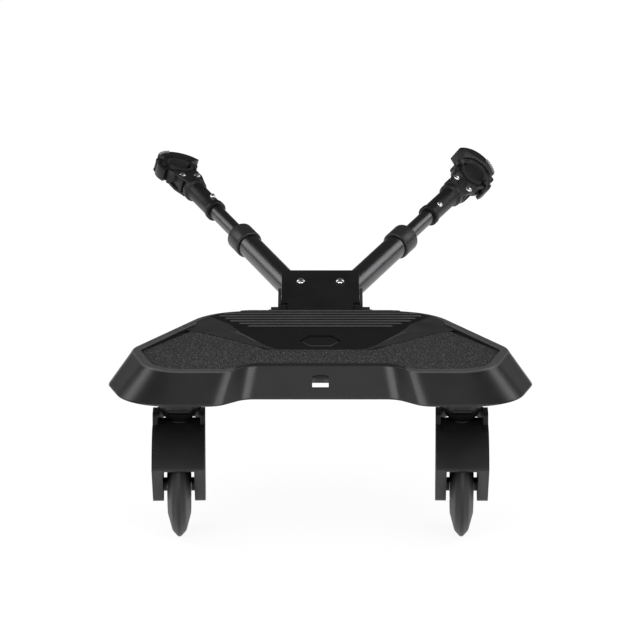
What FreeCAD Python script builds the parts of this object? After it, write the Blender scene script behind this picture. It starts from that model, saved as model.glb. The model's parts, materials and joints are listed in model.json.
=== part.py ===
import FreeCAD, Part
import math
import os
import Sketcher

V = FreeCAD.Vector
AXIS_X = V(1, 0, 0)
AXIS_Y = V(0, 1, 0)
AXIS_Z = V(0, 0, 1)
QUARTER = math.degrees(math.pi / 2)
HALF = math.degrees(math.pi)
FULL = math.degrees(math.tau)
ZERO = 1e-9

# Driving dimensions in millimetres and degrees, by sub-part.
SIZES = {
    # Fits between pieces, and how far cuts and joined solids reach past a face.
    "running_fit": 0.05, "free_gap": 0.3, "overlap": 1.0,
    # Wheels.
    "wheel_radius": 50.0, "tyre_tip_radius": 2.9, "tyre_flank_radius": 7.3, "tyre_flank_depth": 9.4,
    "tyre_seat_radius": 27.0, "tyre_bead_radius": 1.0, "tyre_bead_inset": 1.2,
    "core_half_width": 11.2, "core_dish": 6.5, "core_rim": 3.0, "core_bevel": 1.0, "core_bore": 8.8,
    "hub_radius": 15.4, "hub_slope": 2.0, "bearing_radius": 11.0, "bearing_width": 7.0,
    "axle_radius": 4.0, "axle_inset": 1.0, "axle_bevel": 0.6, "spacer_radius": 6.5,
    # Caster forks.
    "caster_inset": 18.5, "caster_trail": 26.0, "caster_angle": 1.5, "fork_half_width": 25.0,
    "fork_slot_half": 14.8, "hood_clear": 3.5, "hood_wall": 3.5, "hood_root": 8.0, "hood_start": 32.0,
    "hood_sweep": 91.0, "leg_end_radius": 16.0, "leg_plate_round": 1.5, "leg_plate_drop": 1.0,
    "cheek_rise": 10.0, "cheek_front": 6.0, "cheek_back": 11.0, "cheek_round": 5.0, "well_gap": 0.9,
    "well_depth": 0.6, "boss_radius": 8.5, "boss_height": 6.0,
    # Caster sockets, kingpins and screws.
    "socket_radius": 19.5, "socket_sink": 0.5, "socket_ball_rise": 17.5, "window_half": 9.75,
    "window_rise": 9.0, "window_height": 4.5, "window_depth": 10.0, "kingpin_radius": 5.0,
    "kingpin_inset": 7.0, "king_head_radius": 7.5, "king_head_height": 2.5, "king_head_rise": 43.5,
    "king_head_room": 2.5, "flange_radius": 27.0, "flange_height": 4.0, "screw_radius": 2.0,
    "screw_head": 3.2, "screw_head_height": 2.0, "screw_depth": 2.45,
    # Deck: heights and walls.
    "rim_rise": 34.5, "skirt_height": 31.0, "wall": 3.0, "lip_width": 7.5, "lip_round": 4.0,
    "recess_depth": 5.0, "deck_floor": 3.5, "pad_thickness": 1.5,
    # Deck: arcs of the upper outline. The side arcs set the width; the others step in from them.
    "side_lip_x": 153.5, "side_lip_y": 41.0, "side_lip_radius": 25.0,
    "corner_step": 25.0, "corner_lip_y": 6.0, "corner_lip_radius": 40.0,
    "lobe_step": 34.2, "lobe_lip_y": 12.0, "lobe_lip_radius": 22.0,
    "notch_step": 38.6, "notch_lip_y": 35.0, "notch_lip_radius": 22.0,
    "front_step": 82.5, "front_lip_y": 124.0, "front_lip_radius": 60.0,
    # Deck: how far the lower outline flares out from the upper one, arc by arc.
    "notch_flare_x": 6.3, "notch_flare_y": 13.0, "lobe_flare_x": 11.7, "lobe_flare_y": 12.0,
    "lobe_flare_radius": 4.0, "corner_flare_x": 11.5, "corner_flare_y": 1.0, "corner_flare_radius": 15.0,
    "side_flare_x": 20.0, "side_flare_y": 15.0, "side_flare_radius": 4.0, "front_flare_x": 11.0,
    # Deck: middle panel, socket for a seat post, slot and ribs.
    "panel_near_y": 52.0, "panel_near_half": 50.0, "panel_foot_y": 134.0, "panel_foot_inset": 33.5,
    "panel_top_half": 95.0, "panel_corner": 6.0, "cover_radius": 19.8, "cover_y": 79.5,
    "cover_thickness": 2.3, "spigot_depth": 8.0, "spigot_wall": 2.1, "socket_bore": 10.0,
    "socket_wall": 4.0, "slot_width": 16.0, "slot_rise": 9.5, "slot_height": 12.5,
    "rib_thickness": 2.6, "cross_rib_y": 39.0, "cross_rib_half": 68.0, "long_rib_x": 70.0,
    "long_rib_depth": 14.0,
    # Fold hinge on the front wall.
    "hinge_reach": 21.0, "hinge_rise": 20.5, "hinge_pin_radius": 4.0, "hinge_cap_radius": 6.0,
    "hinge_cap_length": 2.0, "lug_radius": 8.5, "lug_gap": 1.5, "lug_width": 15.2, "base_half": 64.0,
    "base_plate": 4.0, "base_height": 24.0, "base_bolt_x": 59.0, "base_bolt_inner": 20.0,
    "base_bolt_drop": 11.05, "base_bolt_radius": 2.5, "bolt_head": 4.5, "bolt_head_height": 3.0,
    "nut_height": 3.0, "bolt_tail": 3.0,
    # Bracket that carries the arms.
    "bracket_tilt": 18.0, "plate_half": 39.4, "plate_length": 73.0, "plate_thickness": 3.0,
    "plate_top": 8.0, "plate_heel": 1.5, "plate_nose": 4.4, "tongue_half": 33.0, "tongue_length": 12.0,
    "barrel_radius": 8.0, "channel_gap": 2.0, "channel_wall_end": 38.0, "pivot_x": 20.0, "pivot_y": 52.5,
    "rivet_radius": 3.0, "rivet_head": 4.4, "rivet_dome": 2.6,
    # Arms.
    "knuckle_height": 34.6, "knuckle_gap": 0.2, "knuckle_radius": 17.0, "knuckle_reach": 28.0,
    "left_swing": 28.1, "right_swing": 30.4, "left_roll": 18.0, "right_roll": 33.9, "left_draw": 41.5,
    "right_draw": 34.5,
    "outer_tube_radius": 12.5, "outer_tube_wall": 2.0, "outer_tube_start": 16.0, "outer_tube_end": 118.0,
    "collar_wall": 2.5, "collar_overlap": 2.5, "collar_length": 22.5, "collar_bevel": 1.0,
    "bush_stop": 33.0, "bush_length": 15.0, "inner_tube_radius": 8.0, "inner_tube_wall": 1.5,
    "inner_tube_length": 163.5, "bead_length": 2.5, "bead_gap": 0.7,
    # Connectors and their buttons.
    "sleeve_web": 12.8, "sleeve_length": 54.0, "sleeve_wall": 2.2, "sleeve_lip_rise": 1.2,
    "sleeve_lip_length": 4.5, "sleeve_taper": 1.0, "sleeve_flare": 7.0, "sleeve_flange_rise": 2.8,
    "sleeve_flange_length": 5.0, "button_setback": 39.5, "button_radius": 3.1, "button_centre": 10.6,
    "button_base_radius": 4.6, "button_base_height": 4.3, "button_base_thickness": 1.3,
    "clevis_length": 19.5, "clevis_narrow": 10.5, "clevis_wide": 14.6, "clevis_shoulder": 6.0,
    "clevis_tuck": 2.0, "block_half": 12.8, "clamp_rivet_rise": 5.0, "clamp_rivet_w": 9.2,
    "clamp_rivet_radius": 2.5, "clamp_rivet_head": 3.7, "clamp_rivet_dome": 1.8,
    # Clamps and their levers.
    "clamp_bore": 12.0, "pad_wall": 2.5, "pad_half": 10.8, "pad_sweep": 76.0, "jaw_wall": 5.0,
    "jaw_half": 6.6, "head_half": 9.3, "jaw_sweep": 88.0, "block_gap": 2.0, "jaw_pin_inset": 2.0,
    "jaw_pin_radius": 2.0, "jaw_pin_head": 3.0, "jaw_pin_head_height": 1.0, "jaw_lug_radius": 4.2,
    "jaw_lug_half": 3.0, "claw_rise": 5.0, "claw_start": 67.0, "claw_end": 112.0, "claw_tip_start": 80.0,
    "claw_root_end": 86.0, "lever_pin_angle": 46.0, "lever_pin_rise": 4.0, "ear_sweep": 8.0,
    "ear_slot_sweep": 20.0, "lever_eye": 3.8, "lever_half": 10.2, "lever_ear_half": 3.9,
    "lever_shell": 4.2, "lever_arch_start": 5.0, "lever_blade_lap": 11.5, "lever_end_angle": 66.0,
    "lever_bulge": 4.6, "lever_bulge_angle": 58.0,
}

doc = FreeCAD.newDocument("BuggyBoard")
sheet = doc.addObject("Spreadsheet::Sheet", "Sizes")
for row, (alias, value) in enumerate(SIZES.items(), start=1):
    sheet.set("A%d" % row, alias)
    sheet.set("B%d" % row, str(value))
    sheet.setAlias("B%d" % row, alias)
doc.recompute()


class Dim:
    """A length or angle: its present value and the sheet expression behind it."""

    def __init__(self, value, text):
        self.value = value
        self.text = text

    def __add__(self, other):
        other = dim(other)
        return Dim(self.value + other.value, "(%s + %s)" % (self.text, other.text))

    def __radd__(self, other):
        return dim(other) + self

    def __sub__(self, other):
        other = dim(other)
        return Dim(self.value - other.value, "(%s - %s)" % (self.text, other.text))

    def __rsub__(self, other):
        return dim(other) - self

    def __mul__(self, other):
        other = dim(other)
        return Dim(self.value * other.value, "(%s * %s)" % (self.text, other.text))

    def __rmul__(self, other):
        return dim(other) * self

    def __truediv__(self, other):
        other = dim(other)
        return Dim(self.value / other.value, "(%s / %s)" % (self.text, other.text))

    def __neg__(self):
        return Dim(-self.value, "(-%s)" % self.text)

    def cos(self):
        return Dim(math.cos(math.radians(self.value)), "cos(%s * 1deg)" % self.text)

    def sin(self):
        return Dim(math.sin(math.radians(self.value)), "sin(%s * 1deg)" % self.text)


def dim(number):
    """A Dim as it is, or a plain number as a Dim."""
    if isinstance(number, Dim):
        return number
    return Dim(float(number), repr(float(number)))


class SheetDims:
    """The cells of the sheet as Dims, by alias."""

    def __getattr__(self, alias):
        return Dim(float(sheet.get(alias)), "Sizes." + alias)


D = SheetDims()
NODES = []


def bind(thing, prop, size):
    """Bind a property to a Dim."""
    thing.setExpression(prop, dim(size).text)


def shift(x=0, y=0, z=0):
    """A placement that only moves."""
    return FreeCAD.Placement(V(dim(x).value, dim(y).value, dim(z).value), FreeCAD.Rotation())


def turn(axis, angle):
    """A placement that only turns."""
    return FreeCAD.Placement(V(0, 0, 0), FreeCAD.Rotation(axis, dim(angle).value))


def put(thing, at, rotation=None):
    """Place a primitive at a point of Dims, with a fixed turn."""
    thing.Placement = FreeCAD.Placement(V(*[dim(c).value for c in at]), rotation or FreeCAD.Rotation())
    for letter, size in zip("xyz", at):
        if isinstance(size, Dim):
            bind(thing, "Placement.Base." + letter, size)
    return thing


ALONG = {
    "x": FreeCAD.Rotation(AXIS_Y, QUARTER),
    "y": FreeCAD.Rotation(AXIS_X, -QUARTER),
    "z": FreeCAD.Rotation(),
}


def cylinder(radius, height, at=(0, 0, 0), along="z"):
    thing = doc.addObject("Part::Cylinder", "Cylinder")
    bind(thing, "Radius", radius)
    bind(thing, "Height", height)
    return put(thing, at, ALONG[along])


def box(low, high):
    """A block between two corners."""
    thing = doc.addObject("Part::Box", "Box")
    for prop, a, b in zip(("Length", "Width", "Height"), low, high):
        bind(thing, prop, dim(b) - a)
    return put(thing, low)


def sphere(radius, at):
    thing = doc.addObject("Part::Sphere", "Sphere")
    bind(thing, "Radius", radius)
    return put(thing, at)


def fuse(*things):
    thing = doc.addObject("Part::MultiFuse", "Fuse")
    thing.Shapes = list(things)
    return thing


def cut(base, *tools):
    """The base less each tool."""
    thing = doc.addObject("Part::Cut", "Cut")
    thing.Base = base
    thing.Tool = tools[0] if len(tools) == 1 else fuse(*tools)
    return thing


def common(*things):
    thing = doc.addObject("Part::MultiCommon", "Common")
    thing.Shapes = list(things)
    return thing


def group(*things):
    """Separate solids that share a node."""
    thing = doc.addObject("Part::Compound", "Group")
    thing.Links = list(things)
    return thing


def sector(inner, outer, half, start, end):
    """A ring about the local X axis between two angles, from +Z towards +Y, over both sides of X = 0."""
    solids = []
    for radius in (outer, inner):
        thing = doc.addObject("Part::Cylinder", "Sector")
        bind(thing, "Radius", radius)
        bind(thing, "Height", half * 2)
        bind(thing, "Angle", dim(end) - start)
        solids.append(thing)
        rotation = FreeCAD.Rotation(AXIS_X, -dim(start).value) * FreeCAD.Rotation(AXIS_Y, -QUARTER)
        put(thing, (half, 0, 0), rotation)
    solids[1].setExpression("Angle", None)
    solids[1].Angle = FULL
    return cut(solids[0], solids[1])


def node(thing, label, placement=None):
    """Name a finished piece and set it in its place."""
    thing.Label = label
    thing.Placement = placement or FreeCAD.Placement()
    NODES.append(thing)
    return thing


PLANES = {"xy": "XY_Plane", "xz": "XZ_Plane", "yz": "YZ_Plane"}


def sketch_in(body, plane, level=0):
    """An empty sketch on one of the body's own planes, raised by a level."""
    sketch = body.newObject("Sketcher::SketchObject", "Sketch")
    flat = next(thing for thing in body.Origin.OriginFeatures if thing.Role == PLANES[plane])
    sketch.AttachmentSupport = [(flat, "")]
    sketch.MapMode = "FlatFace"
    sketch.AttachmentOffset = FreeCAD.Placement(V(0, 0, dim(level).value), FreeCAD.Rotation())
    if isinstance(level, Dim):
        bind(sketch, "AttachmentOffset.Base.z", level)
    return sketch


def hold(sketch, geometry, point, x, y):
    """Tie a point of the sketch to its two coordinates."""
    for kind, level, flat in (("DistanceX", dim(x), "Vertical"), ("DistanceY", dim(y), "Horizontal")):
        if abs(level.value) < ZERO:
            sketch.addConstraint(Sketcher.Constraint(flat, -1, 1, geometry, point))
        elif level.value > 0:
            index = sketch.addConstraint(Sketcher.Constraint(kind, -1, 1, geometry, point, level.value))
            bind(sketch, "Constraints[%d]" % index, level)
        else:
            index = sketch.addConstraint(Sketcher.Constraint(kind, geometry, point, -1, 1, -level.value))
            bind(sketch, "Constraints[%d]" % index, -level)


def polygon(sketch, points):
    """A closed outline of straight lines through points of Dims."""
    flat = [V(dim(x).value, dim(y).value, 0) for x, y in points]
    count = len(flat)
    for i in range(count):
        sketch.addGeometry(Part.LineSegment(flat[i], flat[(i + 1) % count]), False)
    for i in range(count):
        sketch.addConstraint(Sketcher.Constraint("Coincident", i, 2, (i + 1) % count, 1))
    for i, (x, y) in enumerate(points):
        hold(sketch, i, 1, x, y)


def rounded(sketch, corners):
    """A closed outline of arcs joined by tangent lines, anticlockwise: (x, y, radius, side) per arc, where
    side is 1 for a corner that bulges out and -1 for a hollow one."""
    count = len(corners)
    centres = [V(dim(x).value, dim(y).value, 0) for x, y, r, s in corners]
    signed = [dim(r).value * s for x, y, r, s in corners]
    leave = []
    arrive = [None] * count
    for i in range(count):
        j = (i + 1) % count
        span = centres[j] - centres[i]
        lean = math.asin((signed[j] - signed[i]) / span.Length)
        way = math.atan2(span.y, span.x) - lean
        normal = V(math.sin(way), -math.cos(way), 0)
        leave.append(centres[i] + normal * signed[i])
        arrive[j] = centres[j] + normal * signed[j]
    for i, (x, y, r, s) in enumerate(corners):
        first, last = (arrive[i], leave[i]) if s > 0 else (leave[i], arrive[i])
        a = math.atan2(first.y - centres[i].y, first.x - centres[i].x)
        b = math.atan2(last.y - centres[i].y, last.x - centres[i].x)
        b += 2 * math.pi if b < a else 0
        sketch.addGeometry(Part.ArcOfCircle(Part.Circle(centres[i], AXIS_Z, dim(r).value), a, b), False)
        sketch.addGeometry(Part.LineSegment(leave[i], arrive[(i + 1) % count]), False)
    for i, (x, y, r, s) in enumerate(corners):
        j = (i + 1) % count
        out_end = 2 if s > 0 else 1
        in_end = 1 if corners[j][3] > 0 else 2
        sketch.addConstraint(Sketcher.Constraint("Tangent", 2 * i, out_end, 2 * i + 1, 1))
        sketch.addConstraint(Sketcher.Constraint("Tangent", 2 * i + 1, 2, 2 * j, in_end))
        index = sketch.addConstraint(Sketcher.Constraint("Radius", 2 * i, dim(r).value))
        bind(sketch, "Constraints[%d]" % index, r)
        hold(sketch, 2 * i, 3, x, y)


def mirrored(half):
    """A full outline from the arcs of its right half, rear to front."""
    return half + [(-x, y, r, s) for x, y, r, s in reversed(half)]


def new_body(name):
    return doc.addObject("PartDesign::Body", name)


def pad(body, sketch, length, both=False):
    feature = body.newObject("PartDesign::Pad", "Pad")
    feature.Profile = sketch
    bind(feature, "Length", length)
    feature.Midplane = both
    return feature


def pocket(body, sketch, length, reverse=False, both=False):
    feature = body.newObject("PartDesign::Pocket", "Pocket")
    feature.Profile = sketch
    bind(feature, "Length", length)
    feature.Reversed = reverse
    feature.Midplane = both
    return feature


def loft(body, kind, first, second):
    feature = body.newObject("PartDesign::" + kind, kind)
    feature.Profile = first
    feature.Sections = [second]
    feature.Ruled = True
    return feature


def lathe(name, points):
    """A body turned about its Z axis from (radius, height) points."""
    body = new_body(name)
    sketch = sketch_in(body, "xz")
    polygon(sketch, points)
    revolve(body, sketch)
    return body


def revolve(body, sketch):
    feature = body.newObject("PartDesign::Revolution", "Revolution")
    feature.Profile = sketch
    feature.ReferenceAxis = (sketch, ["V_Axis"])
    feature.Angle = FULL
    return feature


SIDES = (("left", -1), ("right", 1))

# Heights above the floor, from the wheels up.
hood_radius = D.wheel_radius + D.hood_clear + D.hood_wall
socket_flat = D.wheel_radius + hood_radius - D.socket_sink
rim = socket_flat + D.rim_rise

# Deck: heights and outlines.
lip = rim + D.skirt_height
recess = lip - D.recess_depth
ceiling = recess - D.deck_floor
pad_top = recess + D.pad_thickness
front = D.front_lip_y + D.front_lip_radius
caster_offset = D.side_lip_x - D.caster_inset


def inset(corner, amount):
    """A corner of a parallel outline that lies further in."""
    x, y, r, s = corner
    return (x, y, r - amount, s) if s > 0 else (x, y, r + amount, s)


def lip_corners():
    corner = D.side_lip_x - D.corner_step
    lobe = corner - D.lobe_step
    return [
        (lobe - D.notch_step, -D.notch_lip_y, D.notch_lip_radius, -1),
        (lobe, -D.lobe_lip_y, D.lobe_lip_radius, 1),
        (corner, D.corner_lip_y, D.corner_lip_radius, 1),
        (D.side_lip_x, D.side_lip_y, D.side_lip_radius, 1),
        (D.side_lip_x - D.front_step, D.front_lip_y, D.front_lip_radius, 1),
    ]


def rim_corners():
    flares = [
        (D.notch_flare_x, D.notch_flare_y, 0),
        (D.lobe_flare_x, D.lobe_flare_y, D.lobe_flare_radius),
        (D.corner_flare_x, D.corner_flare_y, D.corner_flare_radius),
        (D.side_flare_x, D.side_flare_y, D.side_flare_radius),
        (D.front_flare_x, 0, 0),
    ]
    return [(x + dx, y - dy, r + dr, s) for (x, y, r, s), (dx, dy, dr) in zip(lip_corners(), flares)]


def corners_between(share):
    """The outline part of the way up the skirt."""
    found = []
    for (x0, y0, r0, s), (x1, y1, r1, s1) in zip(rim_corners(), lip_corners()):
        found.append((x0 + (x1 - x0) * share, y0 + (y1 - y0) * share, r0 + (r1 - r0) * share, s))
    return found


def pad_outline(gap):
    """The grip pad's outline, with a gap to the lip and the panel."""
    half = [inset(corner, D.lip_width + gap) for corner in lip_corners()[:4]]
    r = D.panel_corner
    foot_half = D.side_lip_x - D.panel_foot_inset
    half.append((foot_half - r, D.panel_foot_y - r - gap, r - gap, 1))
    half.append((D.panel_near_half, D.panel_near_y + r, r + gap, -1))
    return mirrored(half)


def hexagon(sketch, radius):
    """A hexagon with two tips along X, about the seat-post socket."""
    tall = radius * math.sin(math.pi / 3)
    low, high = D.cover_y - tall, D.cover_y + tall
    points = [(radius, D.cover_y), (radius / 2, high), (-radius / 2, high), (-radius, D.cover_y),
              (-radius / 2, low), (radius / 2, low)]
    polygon(sketch, points)


def rectangle(sketch, x0, x1, y0, y1):
    polygon(sketch, [(x0, y0), (x1, y0), (x1, y1), (x0, y1)])


def circle(sketch, x, y, radius):
    centre = V(dim(x).value, dim(y).value, 0)
    index = sketch.addGeometry(Part.Circle(centre, AXIS_Z, dim(radius).value), False)
    hold(sketch, index, 3, x, y)
    row = sketch.addConstraint(Sketcher.Constraint("Radius", index, dim(radius).value))
    bind(sketch, "Constraints[%d]" % row, radius)


deck = new_body("DeckBody")
rim_sketch = sketch_in(deck, "xy", rim)
rounded(rim_sketch, mirrored(rim_corners()))
shoulder = lip - D.lip_round
shoulder_sketch = sketch_in(deck, "xy", shoulder)
shoulder_share = (shoulder - rim) / D.skirt_height
rounded(shoulder_sketch, mirrored(corners_between(shoulder_share)))
loft(deck, "AdditiveLoft", rim_sketch, shoulder_sketch)
edge_sketch = sketch_in(deck, "xy", shoulder)
rounded(edge_sketch, mirrored(corners_between(shoulder_share)))
lip_sketch = sketch_in(deck, "xy", lip)
rounded(lip_sketch, mirrored([inset(corner, D.lip_round) for corner in lip_corners()]))
loft(deck, "AdditiveLoft", edge_sketch, lip_sketch)
hollow_low = sketch_in(deck, "xy", rim)
rounded(hollow_low, mirrored([inset(corner, D.wall) for corner in rim_corners()]))
hollow_high = sketch_in(deck, "xy", ceiling)
share = (ceiling - rim) / D.skirt_height
rounded(hollow_high, mirrored([inset(corner, D.wall) for corner in corners_between(share)]))
loft(deck, "SubtractiveLoft", hollow_low, hollow_high)
recess_sketch = sketch_in(deck, "xy", lip)
rounded(recess_sketch, pad_outline(0))
pocket(deck, recess_sketch, D.recess_depth)
slope = sketch_in(deck, "yz")
polygon(slope, [(D.panel_near_y - D.wall, pad_top), (front - D.panel_corner, lip),
                (front - D.panel_corner, lip + D.wall), (D.panel_near_y - D.wall, lip + D.wall)])
pocket(deck, slope, D.panel_top_half * 2, both=True)
cover_sketch = sketch_in(deck, "xy", lip)
hexagon(cover_sketch, D.cover_radius + D.free_gap)
pocket(deck, cover_sketch, D.recess_depth)
tube_sketch = sketch_in(deck, "xy", rim)
circle(tube_sketch, 0, D.cover_y, D.socket_bore + D.socket_wall)
pad(deck, tube_sketch, ceiling - rim + D.deck_floor / 2)
ribs_sketch = sketch_in(deck, "xy", rim)
rectangle(ribs_sketch, -D.cross_rib_half, D.cross_rib_half, D.cross_rib_y, D.cross_rib_y + D.rib_thickness)
pad(deck, ribs_sketch, ceiling - rim + D.deck_floor / 2)
for side in (-1, 1):
    long_sketch = sketch_in(deck, "xy", ceiling - D.long_rib_depth)
    edge = D.long_rib_x * side
    rectangle(long_sketch, edge - D.rib_thickness / 2, edge + D.rib_thickness / 2, dim(0), front - D.wall / 2)
    pad(deck, long_sketch, D.long_rib_depth + D.deck_floor / 2)
bore_sketch = sketch_in(deck, "xy", recess)
circle(bore_sketch, 0, D.cover_y, D.socket_bore)
pocket(deck, bore_sketch, recess - rim)
slot_low = rim + D.slot_rise
slot_sketch = sketch_in(deck, "xz")
rectangle(slot_sketch, -D.slot_width / 2, D.slot_width / 2, slot_low, slot_low + D.slot_height)
pocket(deck, slot_sketch, D.notch_lip_y + D.notch_flare_y, reverse=True)

SCREW_ANGLES = (90, 210, 330)
screw_reach = D.socket_radius + (D.flange_radius - D.socket_radius) / 2


def screw_spots():
    """Middles of the socket screws, on both sides of the deck."""
    spots = []
    for label, side in SIDES:
        for angle in SCREW_ANGLES:
            reach = screw_reach * math.cos(math.radians(angle))
            across = screw_reach * math.sin(math.radians(angle))
            spots.append((caster_offset * side + reach, D.caster_trail + across))
    return spots


def bolt_spots():
    """Middles of the hinge base bolts, across the board."""
    return [-D.base_bolt_x, -D.base_bolt_inner, D.base_bolt_inner, D.base_bolt_x]


hinge_y = front + D.hinge_reach
hinge_z = rim + D.hinge_rise
bolt_z = hinge_z - D.base_bolt_drop
screw_holes = [cylinder(D.screw_radius, D.screw_depth, (x, y, ceiling)) for x, y in screw_spots()]
hole_start = front - D.wall - D.overlap
bolt_holes = [cylinder(D.base_bolt_radius, D.wall + D.overlap * 2, (x, hole_start, bolt_z), "y")
              for x in bolt_spots()]
node(cut(deck, *screw_holes, *bolt_holes), "deck_shell")

grip = new_body("GripBody")
grip_sketch = sketch_in(grip, "xy", recess)
rounded(grip_sketch, pad_outline(D.free_gap / 2))
pad(grip, grip_sketch, D.pad_thickness)
node(grip, "grip_pad")

cover = new_body("CoverBody")
lid_sketch = sketch_in(cover, "xy", recess)
hexagon(lid_sketch, D.cover_radius)
pad(cover, lid_sketch, D.cover_thickness)
spigot_sketch = sketch_in(cover, "xy", recess - D.spigot_depth)
circle(spigot_sketch, 0, D.cover_y, D.socket_bore - D.running_fit)
pad(cover, spigot_sketch, D.spigot_depth)
hollow_sketch = sketch_in(cover, "xy", recess)
circle(hollow_sketch, 0, D.cover_y, D.socket_bore - D.running_fit - D.spigot_wall)
pocket(cover, hollow_sketch, D.spigot_depth)
node(cover, "seat_socket_cover")

# Hinge base on the front wall, its bolts and the hinge pin.
lug_top = hinge_z + D.lug_radius
lug_inner = D.tongue_half + D.lug_gap
lug_outer = lug_inner + D.lug_width
base_front = front + D.base_plate
lugs = []
for side in (-1, 1):
    start = lug_inner if side > 0 else -lug_outer
    lugs.append(cylinder(D.lug_radius, D.lug_width, (start, hinge_y, hinge_z), "x"))
    lugs.append(box((start, front, hinge_z - D.lug_radius), (start + D.lug_width, hinge_y, lug_top)))
base_plate = box((-D.base_half, front, lug_top - D.base_height), (D.base_half, base_front, lug_top))
pin_hole = cylinder(D.hinge_pin_radius, lug_outer * 2, (-lug_outer, hinge_y, hinge_z), "x")
base_holes = [cylinder(D.base_bolt_radius, D.base_plate, (x, front, bolt_z), "y") for x in bolt_spots()]
node(cut(fuse(base_plate, *lugs), pin_hole, *base_holes), "hinge_base")

nut_back = front - D.wall - D.nut_height
bolt_end = nut_back - D.bolt_tail
bolts = []
for x in bolt_spots():
    shank = cylinder(D.base_bolt_radius, base_front - bolt_end, (x, bolt_end, bolt_z), "y")
    head = cylinder(D.bolt_head, D.bolt_head_height, (x, base_front, bolt_z), "y")
    bolts.append(fuse(shank, head))
    nut = cylinder(D.bolt_head, D.nut_height, (x, nut_back, bolt_z), "y")
    bolts.append(cut(nut, cylinder(D.base_bolt_radius, D.nut_height, (x, nut_back, bolt_z), "y")))
node(group(*bolts), "hinge_bolts")

pin_end = lug_outer + D.free_gap
node(fuse(
    cylinder(D.hinge_pin_radius, pin_end * 2, (-pin_end, hinge_y, hinge_z), "x"),
    cylinder(D.hinge_cap_radius, D.hinge_cap_length, (pin_end, hinge_y, hinge_z), "x"),
    cylinder(D.hinge_cap_radius, D.hinge_cap_length, (-pin_end - D.hinge_cap_length, hinge_y, hinge_z), "x"),
), "hinge_pin")

screws = []
flange_low = ceiling - D.flange_height
for x, y in screw_spots():
    shank = cylinder(D.screw_radius, D.flange_height + D.screw_depth, (x, y, flange_low))
    head = cylinder(D.screw_head, D.screw_head_height, (x, y, flange_low - D.screw_head_height))
    screws.append(fuse(shank, head))
node(group(*screws), "caster_screws")

# Bracket in its own frame: X across, Y away from the hinge, Z out of the top plate.
at_bracket = shift(0, hinge_y, hinge_z) * turn(AXIS_X, D.bracket_tilt)
plate_low = D.plate_top - D.plate_thickness
arm_level = plate_low - D.knuckle_gap - D.knuckle_height / 2
floor_top = arm_level - D.knuckle_height / 2 - D.knuckle_gap
floor_low = floor_top - D.plate_thickness

plate = new_body("PlateBody")
plate_sketch = sketch_in(plate, "xy", plate_low)
rounded(plate_sketch, mirrored([
    (D.plate_half - D.plate_heel, D.tongue_length + D.plate_heel, D.plate_heel, 1),
    (D.plate_half - D.plate_nose, D.plate_length - D.plate_nose, D.plate_nose, 1)]))
pad(plate, plate_sketch, D.plate_thickness)
tongue = box((-D.tongue_half, 0, plate_low), (D.tongue_half, D.tongue_length + D.plate_heel, D.plate_top))
barrel = cylinder(D.barrel_radius, D.tongue_half * 2, (-D.tongue_half, 0, 0), "x")
barrel_bore = cylinder(D.hinge_pin_radius + D.running_fit, D.tongue_half * 2, (-D.tongue_half, 0, 0), "x")
plate_holes = [cylinder(D.rivet_radius, D.plate_thickness, (D.pivot_x * s, D.pivot_y, plate_low))
               for s in (-1, 1)]
node(cut(fuse(plate, tongue, barrel), barrel_bore, *plate_holes), "bracket_plate", at_bracket)

wall_in = D.plate_half + D.free_gap
wall_out = wall_in + D.plate_thickness
channel_start = D.barrel_radius + D.channel_gap
channel = [
    box((-wall_out, channel_start, floor_low), (wall_out, D.plate_length, floor_top)),
    box((-wall_in, channel_start, floor_top), (wall_in, channel_start + D.plate_thickness, plate_low)),
]
for low, high in ((-wall_out, -wall_in), (wall_in, wall_out)):
    channel.append(box((low, channel_start, floor_top), (high, D.channel_wall_end, D.plate_top)))
floor_holes = [cylinder(D.rivet_radius, D.plate_thickness, (D.pivot_x * s, D.pivot_y, floor_low))
               for s in (-1, 1)]
node(cut(fuse(*channel), *floor_holes), "bracket_channel", at_bracket)


def dome(base_radius, height, at, down=False):
    """A low rivet head: a ball cut by a cylinder of the head's radius."""
    ball_radius = (base_radius * base_radius + height * height) / (height * 2)
    x, y, z = at
    middle = z + ball_radius - height if down else z - ball_radius + height
    low = z - height if down else dim(z)
    return common(sphere(ball_radius, (x, y, middle)), cylinder(base_radius, height, (x, y, low)))


rivets = []
for s in (-1, 1):
    x = D.pivot_x * s
    shank = cylinder(D.rivet_radius, D.plate_top - floor_low, (x, D.pivot_y, floor_low))
    rivets.append(fuse(shank, dome(D.rivet_head, D.rivet_dome, (x, D.pivot_y, D.plate_top)),
                       dome(D.rivet_head, D.rivet_dome, (x, D.pivot_y, floor_low), True)))
node(group(*rivets), "pivot_rivets", at_bracket)

# Casters: fixed sockets on the deck, and forks that turn below them.
socket_centre = socket_flat + D.socket_ball_rise
head_seat = socket_flat + D.king_head_rise
hood_bore = hood_radius - D.hood_wall
kingpin_low = D.wheel_radius + hood_bore - D.kingpin_inset
fork_floor = socket_flat - D.free_gap
cheek_top = socket_flat + D.cheek_rise
flank_reach = D.wheel_radius - D.tyre_flank_depth
bearing_face = D.core_half_width + D.free_gap
bearing_back = bearing_face - D.bearing_width
axle_bore = D.axle_radius + D.running_fit
axle_end = D.fork_half_width - D.axle_inset


def ring(inner, outer, low, high):
    """A plain ring about the local Z axis."""
    return cut(cylinder(outer, dim(high) - low, (0, 0, low)), cylinder(inner, dim(high) - low, (0, 0, low)))


def socket_holes():
    """Holes for the three screws in a socket's flange."""
    holes = []
    for angle in SCREW_ANGLES:
        reach = screw_reach * math.cos(math.radians(angle))
        across = screw_reach * math.sin(math.radians(angle))
        holes.append(cylinder(D.screw_radius, D.flange_height, (reach, across, flange_low)))
    return holes


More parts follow.
